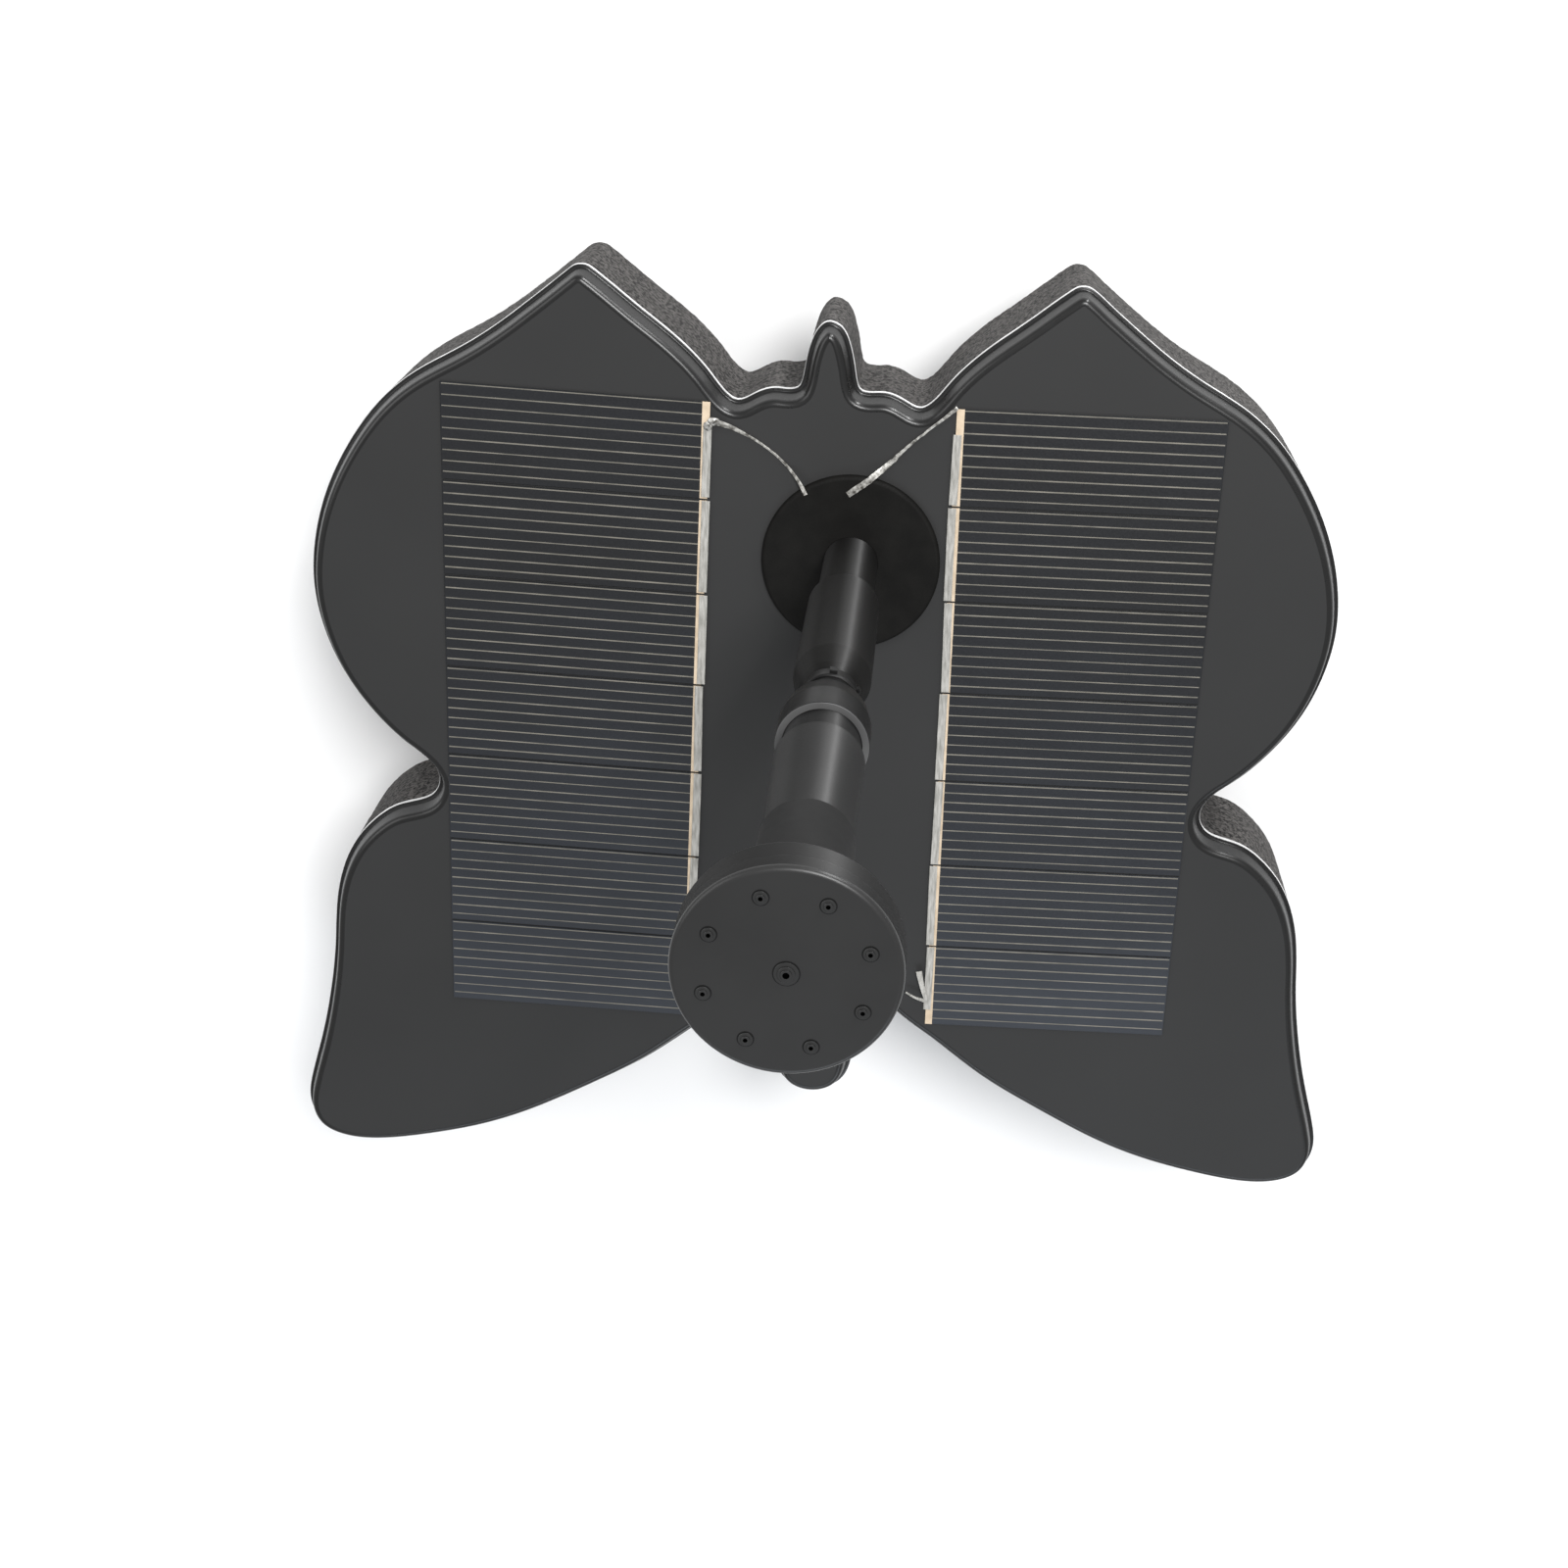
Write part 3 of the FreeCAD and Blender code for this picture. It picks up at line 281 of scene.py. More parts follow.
def make_materials():
    """Every finish, under the record's material slots and under the names used below."""
    warm = (1.06, 1.0, 0.88)
    return {
        "tray_face": surface("tray_face", grey(0.0195), grey(0.0215), (0.5, 0.58), 40, 0.25, 0.006,
                             specular=0.28),
        "tray_rim": surface("tray_rim", grey(0.009), grey(0.011), (0.27, 0.29), 12, 2.5, 0.0,
                            specular=0.35),
        # painted highlight: the lip's outer side is pale grey, standing in for the bright line of
        # light along the tray's edge
        "tray_lip_painted_highlight": surface("tray_lip_painted_highlight", grey(0.45), grey(0.62), (0.2, 0.3), 3, 0.4, 0.01, coat=0.3),
        "foam": foam_surface("foam", (0.003, 0.0028, 0.0026), (0.094, 0.0885, 0.085), 0.75),
        "sponge": foam_surface("sponge", (0.012, 0.012, 0.012), (0.06, 0.06, 0.06), 1.2),
        "cell": cell_surface(),
        "finger": surface("finger", (0.12, 0.113, 0.095), (0.19, 0.177, 0.15), (0.45, 0.6), 5, 0.3,
                          0.01, metallic=0.2),
        "pad": surface("pad", (0.45, 0.355, 0.25), (0.58, 0.47, 0.345), (0.5, 0.62), 3, 0.25, 0.01),
        "ribbon": surface("ribbon", (0.24, 0.235, 0.215), (0.42, 0.41, 0.385), (0.35, 0.5), 1.4,
                          0.3, 0.03, metallic=0.15, stretch=(3, 0.4, 1)),
        "wire": surface("wire", (0.07, 0.066, 0.058), (0.5, 0.49, 0.46), (0.25, 0.45), 0.9, 0.3,
                        0.04, metallic=0.35),
        "black_plastic": surface("hub_plastic", grey(0.003, warm), grey(0.005, warm), (0.6, 0.75),
                                 5, 0.35, 0.02, specular=0.12),
        "rubber": turned_plastic("rubber", grey(0.002, warm), grey(0.003, warm), (0.5, 0.54), 0.3),
        "grey_plastic": turned_plastic("riser_plastic", grey(0.012), grey(0.014), (0.52, 0.56), 0.4),
        "pipe_plastic": turned_plastic("pipe_plastic", grey(0.005), grey(0.007), (0.5, 0.54), 0.3),
        # painted shade: a darker copy of the head's plastic for its upright sides, standing in for
        # the shade on them
        "head_side_painted_shade": turned_plastic("head_side_painted_shade", grey(0.009), grey(0.011), (0.62, 0.66), 0.3),
        # painted shade: a near-black copy of the head's plastic for the neck, standing in for the
        # head's shadow on it
        "neck_painted_shade": surface("neck_painted_shade", grey(0.005), grey(0.007), (0.55, 0.6), 10, 2.5,
                                0.0, specular=0.15),
        "collar_plastic": surface("collar_plastic", grey(0.004), grey(0.006), (0.36, 0.4), 8, 2.5,
                                  0.0, specular=0.18),
        # painted highlight: a much paler copy of the collar's plastic for its flat top, standing in
        # for the light that top catches
        "collar_top_painted_highlight": surface("collar_top_painted_highlight", grey(0.06), grey(0.075), (0.4, 0.5), 8, 0.3, 0.004),
        "head_plastic": surface("head_plastic", grey(0.018), grey(0.02), (0.32, 0.34), 14, 2.5,
                                0.0, specular=0.3),
        # painted shade: near-black colour on the jets' upright steps and feet, standing in for the
        # shade there
        "jet_step_painted_shade": surface("jet_step_painted_shade", grey(0.003), grey(0.005), (0.5, 0.6), specular=0.2),
        # painted shade: near-black colour inside the jets' bores, standing in for the dark in them
        "jet_bore_painted_shade": surface("jet_bore_painted_shade", grey(0.0005), grey(0.001), (0.7, 0.8), specular=0.0),
        "housing": surface("housing_plastic", grey(0.018), grey(0.026), (0.38, 0.5), 8, 0.35,
                           0.02),
        "steel": surface("steel", grey(0.5), grey(0.62), (0.22, 0.36), 2, 0.3, 0.01, metallic=1.0),
        "iron": surface("laminations", grey(0.2), grey(0.32), (0.4, 0.5), 3, 0.4, 0.02,
                        metallic=0.9, stretch=(0.2, 6, 0.2)),
        "copper": surface("winding", (0.42, 0.16, 0.06), (0.62, 0.27, 0.11), (0.25, 0.4), 1.5,
                          0.5, 0.05, metallic=0.9, stretch=(1, 0.3, 4)),
        "ferrite": surface("ferrite", grey(0.03), grey(0.045), (0.5, 0.65), 3, 0.4, 0.02),
        "ceramic": surface("ceramic", grey(0.72), grey(0.8), (0.2, 0.3), 4, 0.3, 0.004),
        "impeller": surface("acetal", (0.66, 0.66, 0.62), (0.74, 0.74, 0.7), (0.3, 0.4), 4, 0.3,
                            0.006),
        "resin": surface("epoxy", grey(0.012), grey(0.02), (0.15, 0.3), 5, 1.5, 0.02, coat=0.4),
        "board": surface("laminate", (0.012, 0.06, 0.03), (0.02, 0.085, 0.042), (0.3, 0.42), 4,
                         0.4, 0.01, coat=0.3),
        "floor": surface("floor", grey(0.86), grey(0.88), (0.5, 0.6), 300, 2.0, 0.005),
    }


materials = make_materials()


# ---- building meshes -------------------------------------------------------------------------

class Shape:
    """Points and faces being gathered for one piece, in metres."""

    def __init__(self):
        self.points = []
        self.faces = []
        self.kinds = []

    def add(self, points, faces, kind=0):
        """Add faces, whose corners count from the first of the new points."""
        start = len(self.points)
        self.points += [tuple(p) for p in points]
        self.faces += [[start + i for i in face] for face in faces]
        self.kinds += [kind] * len(faces)

    def piece(self, name, body, surfaces, replaces=(), slot=None, sharp=35.0):
        """The finished piece, which rides on a CAD body."""
        mesh = bpy.data.meshes.new(name)
        mesh.from_pydata(self.points, [], self.faces)
        mesh.validate()
        for item in surfaces:
            mesh.materials.append(materials[item])
        mesh.polygons.foreach_set("material_index", self.kinds)
        mesh.shade_smooth()
        mesh.set_sharp_from_angle(angle=math.radians(sharp))
        made = bpy.data.objects.new(name, mesh)
        bpy.context.scene.collection.objects.link(made)
        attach(made, body)
        if replaces:
            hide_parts(*replaces)
        return made


def rounded(corners, steps=6):
    """A closed profile of (radius, height, fillet) corners as points, fillets as arcs."""
    points = []
    count = len(corners)
    for index, (r, h, fillet) in enumerate(corners):
        here = Vector((r, h))
        if not fillet:
            points.append(here)
            continue
        before = (Vector(corners[index - 1][:2]) - here).normalized()
        after = (Vector(corners[(index + 1) % count][:2]) - here).normalized()
        half = before.angle(after) / 2
        centre = here + (before + after).normalized() * (fillet / math.sin(half))
        start = here + before * (fillet / math.tan(half)) - centre
        end = here + after * (fillet / math.tan(half)) - centre
        for step in range(steps + 1):
            points.append(centre + start.slerp(end, step / steps).normalized() * fillet)
    return points


def turn(shape, profile, centre, kind_of=None, steps=ROUND_STEPS, closed=True):
    """Turn a profile of millimetre (radius, height) points about an upright axis at centre.

    kind_of gives a stretch's material number from its two ends; without it, it is 0.
    """
    profile = [Vector(p) for p in profile]
    points = []
    rings = []
    for r, h in profile:
        if r < 1e-6:
            rings.append([len(points)] * steps)
            points.append(Vector((0, 0, h * MM)))
            continue
        rings.append(list(range(len(points), len(points) + steps)))
        for step in range(steps):
            angle = 2 * math.pi * step / steps
            points.append(Vector((r * math.cos(angle), r * math.sin(angle), h)) * MM)
    start = len(shape.points)
    shape.add([p + Vector(centre) for p in points], [])
    for index in range(len(rings) if closed else len(rings) - 1):
        following_ring = (index + 1) % len(rings)
        lower, upper = rings[index], rings[following_ring]
        kind = kind_of(profile[index], profile[following_ring]) if kind_of else 0
        for step in range(steps):
            following = (step + 1) % steps
            face = [lower[step], lower[following], upper[following], upper[step]]
            face = [start + p for i, p in enumerate(face) if p != face[i - 1]]
            if len(face) > 2:
                shape.faces.append(face)
                shape.kinds.append(kind)


def tile(shape, low, high, chamfer, place, kind=0):
    """A thin plate between two millimetre corners whose top edges are chamfered."""
    rings = []
    for inset, height in ((0, low[2]), (0, high[2] - chamfer), (chamfer, high[2])):
        rings.append([(low[0] + inset, low[1] + inset, height),
                      (high[0] - inset, low[1] + inset, height),
                      (high[0] - inset, high[1] - inset, height),
                      (low[0] + inset, high[1] - inset, height)])
    points = [place @ (Vector(p) * MM) for ring in rings for p in ring]
    faces = [[3, 2, 1, 0], [8, 9, 10, 11]]
    for level in (0, 4):
        for i in range(4):
            following = (i + 1) % 4
            faces.append([level + i, level + following, level + 4 + following, level + 4 + i])
    shape.add(points, faces, kind)


def smooth_path(points, count, closed=False):
    """Points evenly spaced along a smooth curve through the given points."""
    points = np.array(points, float)
    if closed:
        ends = (points[-2:], points[:3])
    else:
        ends = (2 * points[:1] - points[1:2], 2 * points[-1:] - points[-2:-1])
    padded = np.vstack([ends[0], points, ends[1]])
    offset = 2 if closed else 1
    gaps = np.linalg.norm(np.diff(padded, axis=0), axis=1) + 1e-12
    slopes = np.diff(padded, axis=0) / gaps[:, None]
    tangents = (slopes[:-1] * gaps[1:, None] + slopes[1:] * gaps[:-1, None]) / (
        gaps[:-1] + gaps[1:])[:, None]
    fine = []
    spans = len(points) if closed else len(points) - 1
    for span in range(spans):
        i = span + offset
        t = np.linspace(0, 1, SPAN_STEPS, endpoint=False)[:, None]
        a, b = padded[i], padded[i + 1]
        ta, tb = tangents[i - 1] * gaps[i], tangents[i] * gaps[i]
        fine.append((2 * t**3 - 3 * t**2 + 1) * a + (t**3 - 2 * t**2 + t) * ta
                    + (3 * t**2 - 2 * t**3) * b + (t**3 - t**2) * tb)
    fine = np.vstack(fine + [points[:1] if closed else points[-1:]])
    along = np.concatenate([[0], np.cumsum(np.linalg.norm(np.diff(fine, axis=0), axis=1))])
    wanted = np.linspace(0, along[-1], count, endpoint=not closed)
    return np.column_stack([np.interp(wanted, along, fine[:, k]) for k in range(fine.shape[1])])


# ---- the butterfly's outline -----------------------------------------------------------------

def outer_loop(node, height):
    """A node's outer edge at a height: its corners in order, anticlockwise."""
    mesh = bmesh.new()
    mesh.from_mesh(frame["nodes"][node].data)
    bmesh.ops.remove_doubles(mesh, verts=mesh.verts, dist=1e-6)
    beside = {}
    for edge in mesh.edges:
        level = all(abs(v.co.z - height) < 1e-5 for v in edge.verts)
        if level and any(abs(f.normal.z) < 0.2 for f in edge.link_faces):
            a, b = (v.index for v in edge.verts)
            beside.setdefault(a, []).append(b)
            beside.setdefault(b, []).append(a)
    mesh.verts.ensure_lookup_table()
    ends = [i for i, near in beside.items() if len(near) == 1]
    start = ends[0] if ends else max(beside, key=lambda i: mesh.verts[i].co.x)
    loop = [start]
    while True:
        following = [i for i in beside[loop[-1]] if i not in loop[-2:]]
        if not following or following[0] == start:
            break
        loop.append(following[0])
    points = np.array([mesh.verts[i].co[:2] for i in loop])
    mesh.free()
    after = np.roll(points, -1, axis=0)
    area = np.sum(points[:, 0] * after[:, 1] - points[:, 1] * after[:, 0])
    return points if area > 0 else points[::-1]


def room_inside(outline, inward, most):
    """How far each point may move inwards before it passes the middle of a narrow tip."""
    reach = np.full(len(outline), most)
    for _ in range(60):
        moved = outline + inward * reach[:, None]
        apart = np.linalg.norm(moved[:, None, :] - outline[None, :, :], axis=2).min(axis=1)
        tight = apart < reach * 0.95
        if not tight.any():
            break
        reach[tight] *= 0.94
    for _ in range(8):
        average = (np.roll(reach, 1) + reach + np.roll(reach, -1)) / 3
        reach = np.minimum(reach, average)
    return reach


outline = smooth_path(outer_loop("float_foam", foam_low.z), OUTLINE_POINTS, closed=True)
ahead = np.roll(outline, -2, axis=0) - np.roll(outline, 2, axis=0)
ahead /= np.linalg.norm(ahead, axis=1)[:, None]
inward = np.column_stack([-ahead[:, 1], ahead[:, 0]])
for _ in range(3):
    inward = np.roll(inward, 1, axis=0) + 2 * inward + np.roll(inward, -1, axis=0)
    inward /= np.linalg.norm(inward, axis=1)[:, None]
room = room_inside(outline, inward, 6 * MM)


def ring_at(depth, height):
    """The outline moved inwards by depth, at heights that may differ round it."""
    moved = outline + inward * np.minimum(depth * MM, room)[:, None]
    return np.column_stack([moved, np.broadcast_to(height, len(outline))])


def strips(count, rings):
    """Quads between successive rings of count points each."""
    faces = []
    for ring in range(rings - 1):
        for i in range(count):
            j = (i + 1) % count
            faces.append([ring * count + i, ring * count + j,
                          (ring + 1) * count + j, (ring + 1) * count + i])
    return faces


def plate(shape, edge, kind, under=False):
    """A level plate filling an outline of points, facing up or down."""
    level = edge[0][2]
    order = [list(range(len(edge)))]
    spots, _, faces, *_ = delaunay_2d_cdt([Vector(p[:2]) for p in edge], [], order, 1, 1e-7)
    shape.add([(p.x, p.y, level) for p in spots],
              [list(face)[::-1] if under else list(face) for face in faces], kind)


def make_tray():
    """The moulded tray: a thin lip with a painted highlight, a glossy rounded rim and a flat satin
    face.
    """
    base = foam_high.z
    rim_top = WALL_TOP + RIM_RADIUS
    climb = WALL_TOP + RIM_RADIUS * math.sin(WALL_LEAN) - WALL_FOOT
    rim_centre = WALL_DEPTH + climb * math.tan(WALL_LEAN) + RIM_RADIUS * math.cos(WALL_LEAN)
    arc = [(rim_centre - RIM_RADIUS * math.cos(a), WALL_TOP + RIM_RADIUS * math.sin(a))
           for a in np.linspace(WALL_LEAN, math.pi / 2, RIM_STEPS)]
    wall = [*LIP_TO_WALL, (WALL_DEPTH, WALL_FOOT), *arc, (FLAT_DEPTH, rim_top)]
    tall = (face_z - base) / MM / rim_top
    # Where a tip is too narrow for the whole rim, the depths of its wall shrink together.
    squeeze = np.clip((room / MM - WALL_DEPTH) / (FLAT_DEPTH - WALL_DEPTH), 0.05, 1.0)
    rings = [ring_at(d, base + h * MM) for d, h in LIP]
    for depth, height in wall:
        past = max(depth - WALL_DEPTH, 0.0)
        rings.append(ring_at(depth - past + past * squeeze, base + height * tall * MM))
    count = len(outline)
    shape = Shape()
    shape.add(np.vstack(rings), strips(count, len(rings)))
    # The lip's outer side is painted bright as a painted highlight, and it is dark underneath and on
    # top.
    lip_highlight_faces = range(count, (len(LIP) - 3) * count)
    last_ring = (len(rings) - 1) * count
    shape.kinds = [int(face in lip_highlight_faces) for face in range(last_ring)]
    plate(shape, shape.points[last_ring:], 2)
    plate(shape, shape.points[:count], 0, under=True)
    shape.piece("panel_tray_moulding", "float", ["tray_rim", "tray_lip_painted_highlight", "tray_face"],
                ["panel_tray"], "tray")


def grain(point, size, depth):
    """How far a point sits below the foam's skin."""
    first = noise.noise(Vector(point) / (size * MM))
    second = noise.noise(Vector(point) / (size * 0.4 * MM) + Vector((7, 3, 5)))
    return depth * MM * (0.5 + 0.5 * first + 0.35 * second)


def make_foam():
    """The float: a thick foam slab with a torn-bead grain on its wall and a pump pocket."""
    low, high = foam_low.z, foam_high.z
    edge = FOAM_EDGE * MM
    rings = []
    for row in range(FOAM_ROWS + 1):
        height = low + (high - low) * row / FOAM_ROWS
        from_end = min(height - low, high - height)
        round_in = edge - math.sqrt(max(0.0, edge**2 - max(0.0, edge - from_end)**2))
        ring = ring_at(0, height)
        for i in range(len(ring)):
            inwards = round_in + grain(ring[i], GRAIN_SIZE, GRAIN_DEPTH)
            ring[i, :2] += inward[i] * inwards
        rings.append(ring)
    count = len(outline)
    shape = Shape()
    shape.add(np.vstack(rings), strips(count, len(rings)))
    shape.faces.append(list(range(FOAM_ROWS * count, (FOAM_ROWS + 1) * count)))
    shape.kinds.append(0)
    made = shape.piece("float_foam_slab", "float", ["foam"], ["float_foam"], "foam", 60)
    close_underside(made, count, low)


def close_underside(slab, count, low):
    """Fill the slab's underside round the pump's pocket, and line the pocket."""
    housing_low, housing_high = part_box("pump_housing")
    cover_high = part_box("volute_cover")[1]
    side = (housing_high.x - housing_low.x) / 2 + POCKET_SIDE_GAP * MM
    back = housing_low.y - POCKET_BACK_GAP * MM
    front = cover_high.y + POCKET_FRONT_GAP * MM
    corners = [(-side, back), (side, back), (side, front), (-side, front)]
    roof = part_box("mount_plate")[1].z + POCKET_DEPTH * MM
    mesh = bmesh.new()
    mesh.from_mesh(slab.data)
    mesh.verts.ensure_lookup_table()
    border = [mesh.edges.get((mesh.verts[i], mesh.verts[(i + 1) % count])) for i in range(count)]
    rim = [mesh.verts.new((x, y, low)) for x, y in corners]
    top = [mesh.verts.new((x, y, roof)) for x, y in corners]
    pocket = [mesh.edges.new((rim[i], rim[(i + 1) % 4])) for i in range(4)]
    bmesh.ops.triangle_fill(mesh, use_beauty=True, edges=border + pocket)
    for i in range(4):
        j = (i + 1) % 4
        mesh.faces.new([rim[i], rim[j], top[j], top[i]])
    mesh.faces.new(top)
    bmesh.ops.recalc_face_normals(mesh, faces=mesh.faces)
    mesh.to_mesh(slab.data)
    mesh.free()


# ---- solar cells -----------------------------------------------------------------------------

def array_frame(side):
    """The place of an array: its middle on the tray's face, turned as the array is."""
    low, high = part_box(f"cells_{side}")
    centre = (low + high) / 2
    centre.z = low.z
    turned = LEFT_ARRAY_TURN if side == "left" else 0.0
    return Matrix.Translation(centre) @ Matrix.Rotation(math.radians(turned), 4, "Z")


def make_array(side, sign, chance):
    """Seven cells with nine printed lines each, their solder pads and the tabs over them."""
    place = array_frame(side)
    inner = -sign * CELL_WIDE / 2
    outer = sign * CELL_WIDE / 2
    left, right = min(inner, outer), max(inner, outer)
    cells, fingers, pads = Shape(), Shape(), Shape()
    for index in range(CELLS):
        low = (index - CELLS / 2) * CELL_PITCH + (CELL_PITCH - CELL_TALL) / 2
        high = low + CELL_TALL
        lean = Matrix.Rotation(math.radians(chance.uniform(-CELL_LEAN, CELL_LEAN)), 4, "X")
        middle_y = Vector((0, (low + high) / 2 * MM, 0))
        tilt = place @ Matrix.Translation(middle_y) @ lean @ Matrix.Translation(-middle_y)
        tile(cells, (left, low, 0), (right, high, CELL_THICK), 0.05, tilt)
        for line in range(FINGERS):
            y = high - FINGER_START - CELL_PITCH * line / FINGERS
            half = FINGER_WIDE / 2 * chance.uniform(0.8, 1.15)
            tile(fingers, (left + FINGER_INSET, y - half, CELL_THICK - 0.05),
                 (right - FINGER_INSET, y + half, CELL_THICK + 0.03), 0.01, tilt)
        solder_strip(pads, inner, -sign, low, high, index, chance, tilt)
    if side == "right":
        loose_tab(pads)
    cells.piece(f"solar_cells_{side}", "float", ["cell"], [f"cells_{side}"], "cell")
    fingers.piece(f"cell_lines_{side}", "float", ["finger"], slot="ribbon")
    pads.piece(f"solder_strip_{side}", "float", ["pad", "ribbon"], [f"busbar_{side}"], "ribbon")


def loose_tab(shape):
    """The two torn strands at the tail end of the right array's tabs."""
    over = face_z / MM + CELL_THICK + 0.75
    ribbon(shape, [(22.5, -46.0, over), (23.3, -49.4, over + 0.2), (24.3, -53.0, over)],
           [1.3, 1.0, 0.7], 0.12, 0.3, 21.0, 1)
    ribbon(shape, [(19.9, -51.2, over), (21.9, -52.2, over + 0.3), (24.2, -53.1, over)],
           [0.35, 0.5, 0.9], 0.12, 0.25, 27.0, 1)


def solder_strip(shape, edge, towards, low, high, index, chance, place):
    """A cell's cream pad and the tinned tab soldered over most of it."""
    across = sorted((edge - towards * PAD_WIDE / 2, edge + towards * PAD_WIDE / 2))
    tile(shape, (across[0], low, CELL_THICK - 0.1), (across[1], high, CELL_THICK + 0.05), 0.03,
         place, 0)
    top = high - (TAB_FIRST_GAP if index == CELLS - 1 else 0.05)
    bottom = low + (TAB_LAST_GAP if index == 0 else chance.uniform(0.0, 0.35))
    shift = towards * chance.uniform(0.35, 0.8)
    start = sorted((edge + shift - towards * TAB_WIDE / 2, edge + shift + towards * TAB_WIDE / 2))
    slew = Matrix.Rotation(math.radians(chance.uniform(-TAB_SLEW, TAB_SLEW)), 4, "Z")
    pivot = Vector((edge * MM, (top + bottom) / 2 * MM, 0))
    turned = place @ Matrix.Translation(pivot) @ slew @ Matrix.Translation(-pivot)
    tile(shape, (start[0], bottom, CELL_THICK), (start[1], top, CELL_THICK + TAB_THICK), 0.09,
         turned, 1)


# ---- jumpers ---------------------------------------------------------------------------------

def ribbon(shape, route, widths, thick, crease, seed, kind=0):
    """A flat metal ribbon along a route of millimetre points, creased along its length.

    Its section has five corners: the flat underside's two, and three for a slightly ridged top.
    """
    count = 70
    path = smooth_path(route, count)
    wide = np.interp(np.linspace(0, 1, count), np.linspace(0, 1, len(widths)), widths)
    points = []
    for i in range(count):
        ahead = Vector(path[min(i + 1, count - 1)]) - Vector(path[max(i - 1, 0)])
        side = Vector((-ahead.y, ahead.x, 0)).normalized()
        wobble = noise.noise(Vector((i * 0.31, seed, 0)))
        twist = noise.noise(Vector((i * 0.23, seed + 9, 0))) * crease
        centre = Vector(path[i]) + side * wobble * crease * 0.35
        centre.z += abs(wobble) * crease * 0.5
        lean = Vector((0, 0, 1)) * twist
        half = side * wide[i] / 2 * (1 - 0.25 * abs(twist))
        up = Vector((0, 0, thick))
        points += [centre - half - lean * 0.4, centre + half + lean * 0.4,
                   centre + half + lean * 0.4 + up, centre + up * 1.3,
                   centre - half - lean * 0.4 + up]
    floor_z = face_z / MM + 0.02
    points = [Vector((p.x, p.y, max(p.z, floor_z))) * MM for p in points]
    faces = [[4, 3, 2, 1, 0], [(count - 1) * 5 + k for k in range(5)]]
    for i in range(count - 1):
        for k in range(5):
            a, b = i * 5 + k, i * 5 + (k + 1) % 5
            faces.append([a, b, b + 5, a + 5])
    shape.add(points, faces, kind)


def blob(shape, centre, radii, seed):
    """A lump of solder."""
    rows, steps = 12, 20
    points = []
    faces = []
    for row in range(rows + 1):
        up = math.pi * row / rows
        for step in range(steps):
            round_about = 2 * math.pi * step / steps
            direction = Vector((math.sin(up) * math.cos(round_about),
                                math.sin(up) * math.sin(round_about), math.cos(up)))
            lump = 1 + 0.35 * noise.noise(direction * 1.7 + Vector((seed, 0, 0)))
            points.append(Vector([c + d * r * lump
                                  for c, d, r in zip(centre, direction, radii)]) * MM)
    for row in range(rows):
        for step in range(steps):
            following = (step + 1) % steps
            faces.append([row * steps + step, (row + 1) * steps + step,
                          (row + 1) * steps + following, row * steps + following])
    shape.add(points, faces)


def make_jumpers():
    """The ribbons from the arrays' first cells to the hub, and the left one's solder lumps."""
    low = face_z / MM + 0.15
    on_cell = low + CELL_THICK + 0.3
    over_hub = hub_high.z / MM + 0.1
    left = Shape()
    ribbon(left, [(-22.6, 69.9, on_cell), (-21.4, 70.1, on_cell), (-19.6, 69.6, low + 0.3),
                  (-15.6, 67.9, low), (-11.5, 65.5, low), (-7.6, 62.2, low + 0.1),
                  (-5.0, 59.2, over_hub - 0.2), (-3.8, 57.0, over_hub)],
           [1.3, 0.9, 0.5, 0.4, 0.45, 0.55, 0.75], 0.15, 0.1, 3.0)
    blob(left, (-21.6, 70.2, on_cell + 0.1), (1.1, 0.75, 0.5), 1.0)
    blob(left, (-22.7, 69.3, on_cell), (0.8, 0.9, 0.35), 4.0)
    left.piece("jumper_ribbon_left", "float", ["wire"], ["jumper_left"], "ribbon", 40)
    right = Shape()
    ribbon(right, [(24.4, 75.0, on_cell), (22.9, 73.6, on_cell), (19.2, 70.4, low + 0.2),
                   (15.0, 66.6, low + 0.1), (11.6, 63.2, low + 0.25), (8.6, 60.7, over_hub - 0.1),
                   (4.3, 57.4, over_hub)],
           [0.7, 0.5, 0.4, 0.6, 1.1, 1.25, 1.3], 0.15, 0.45, 12.0)
    right.piece("jumper_ribbon_right", "float", ["wire"], ["jumper_right"], "ribbon", 30)


# ---- riser -----------------------------------------------------------------------------------

def make_connector():
    """Glossy rubber sleeve with a rounded shoulder and a narrow mouth."""
    radius, bottom, top = turned_box("hose_connector")
    bore = 5.35
    mouth = 3.55
    step = top - 20.5
    shape = Shape()
    turn(shape, rounded([(bore, bottom, 0.2), (radius, bottom, 0.7), (radius, top - 6.5, 4.0),
                         (5.3, top - 1.6, 2.2), (4.6, top, 0.5), (mouth, top, 0.2),
                         (mouth, step, 0), (bore, step, 0)], 8), hub)
    shape.piece("hose_connector_sleeve", "float", ["rubber"], ["hose_connector"], "rubber")


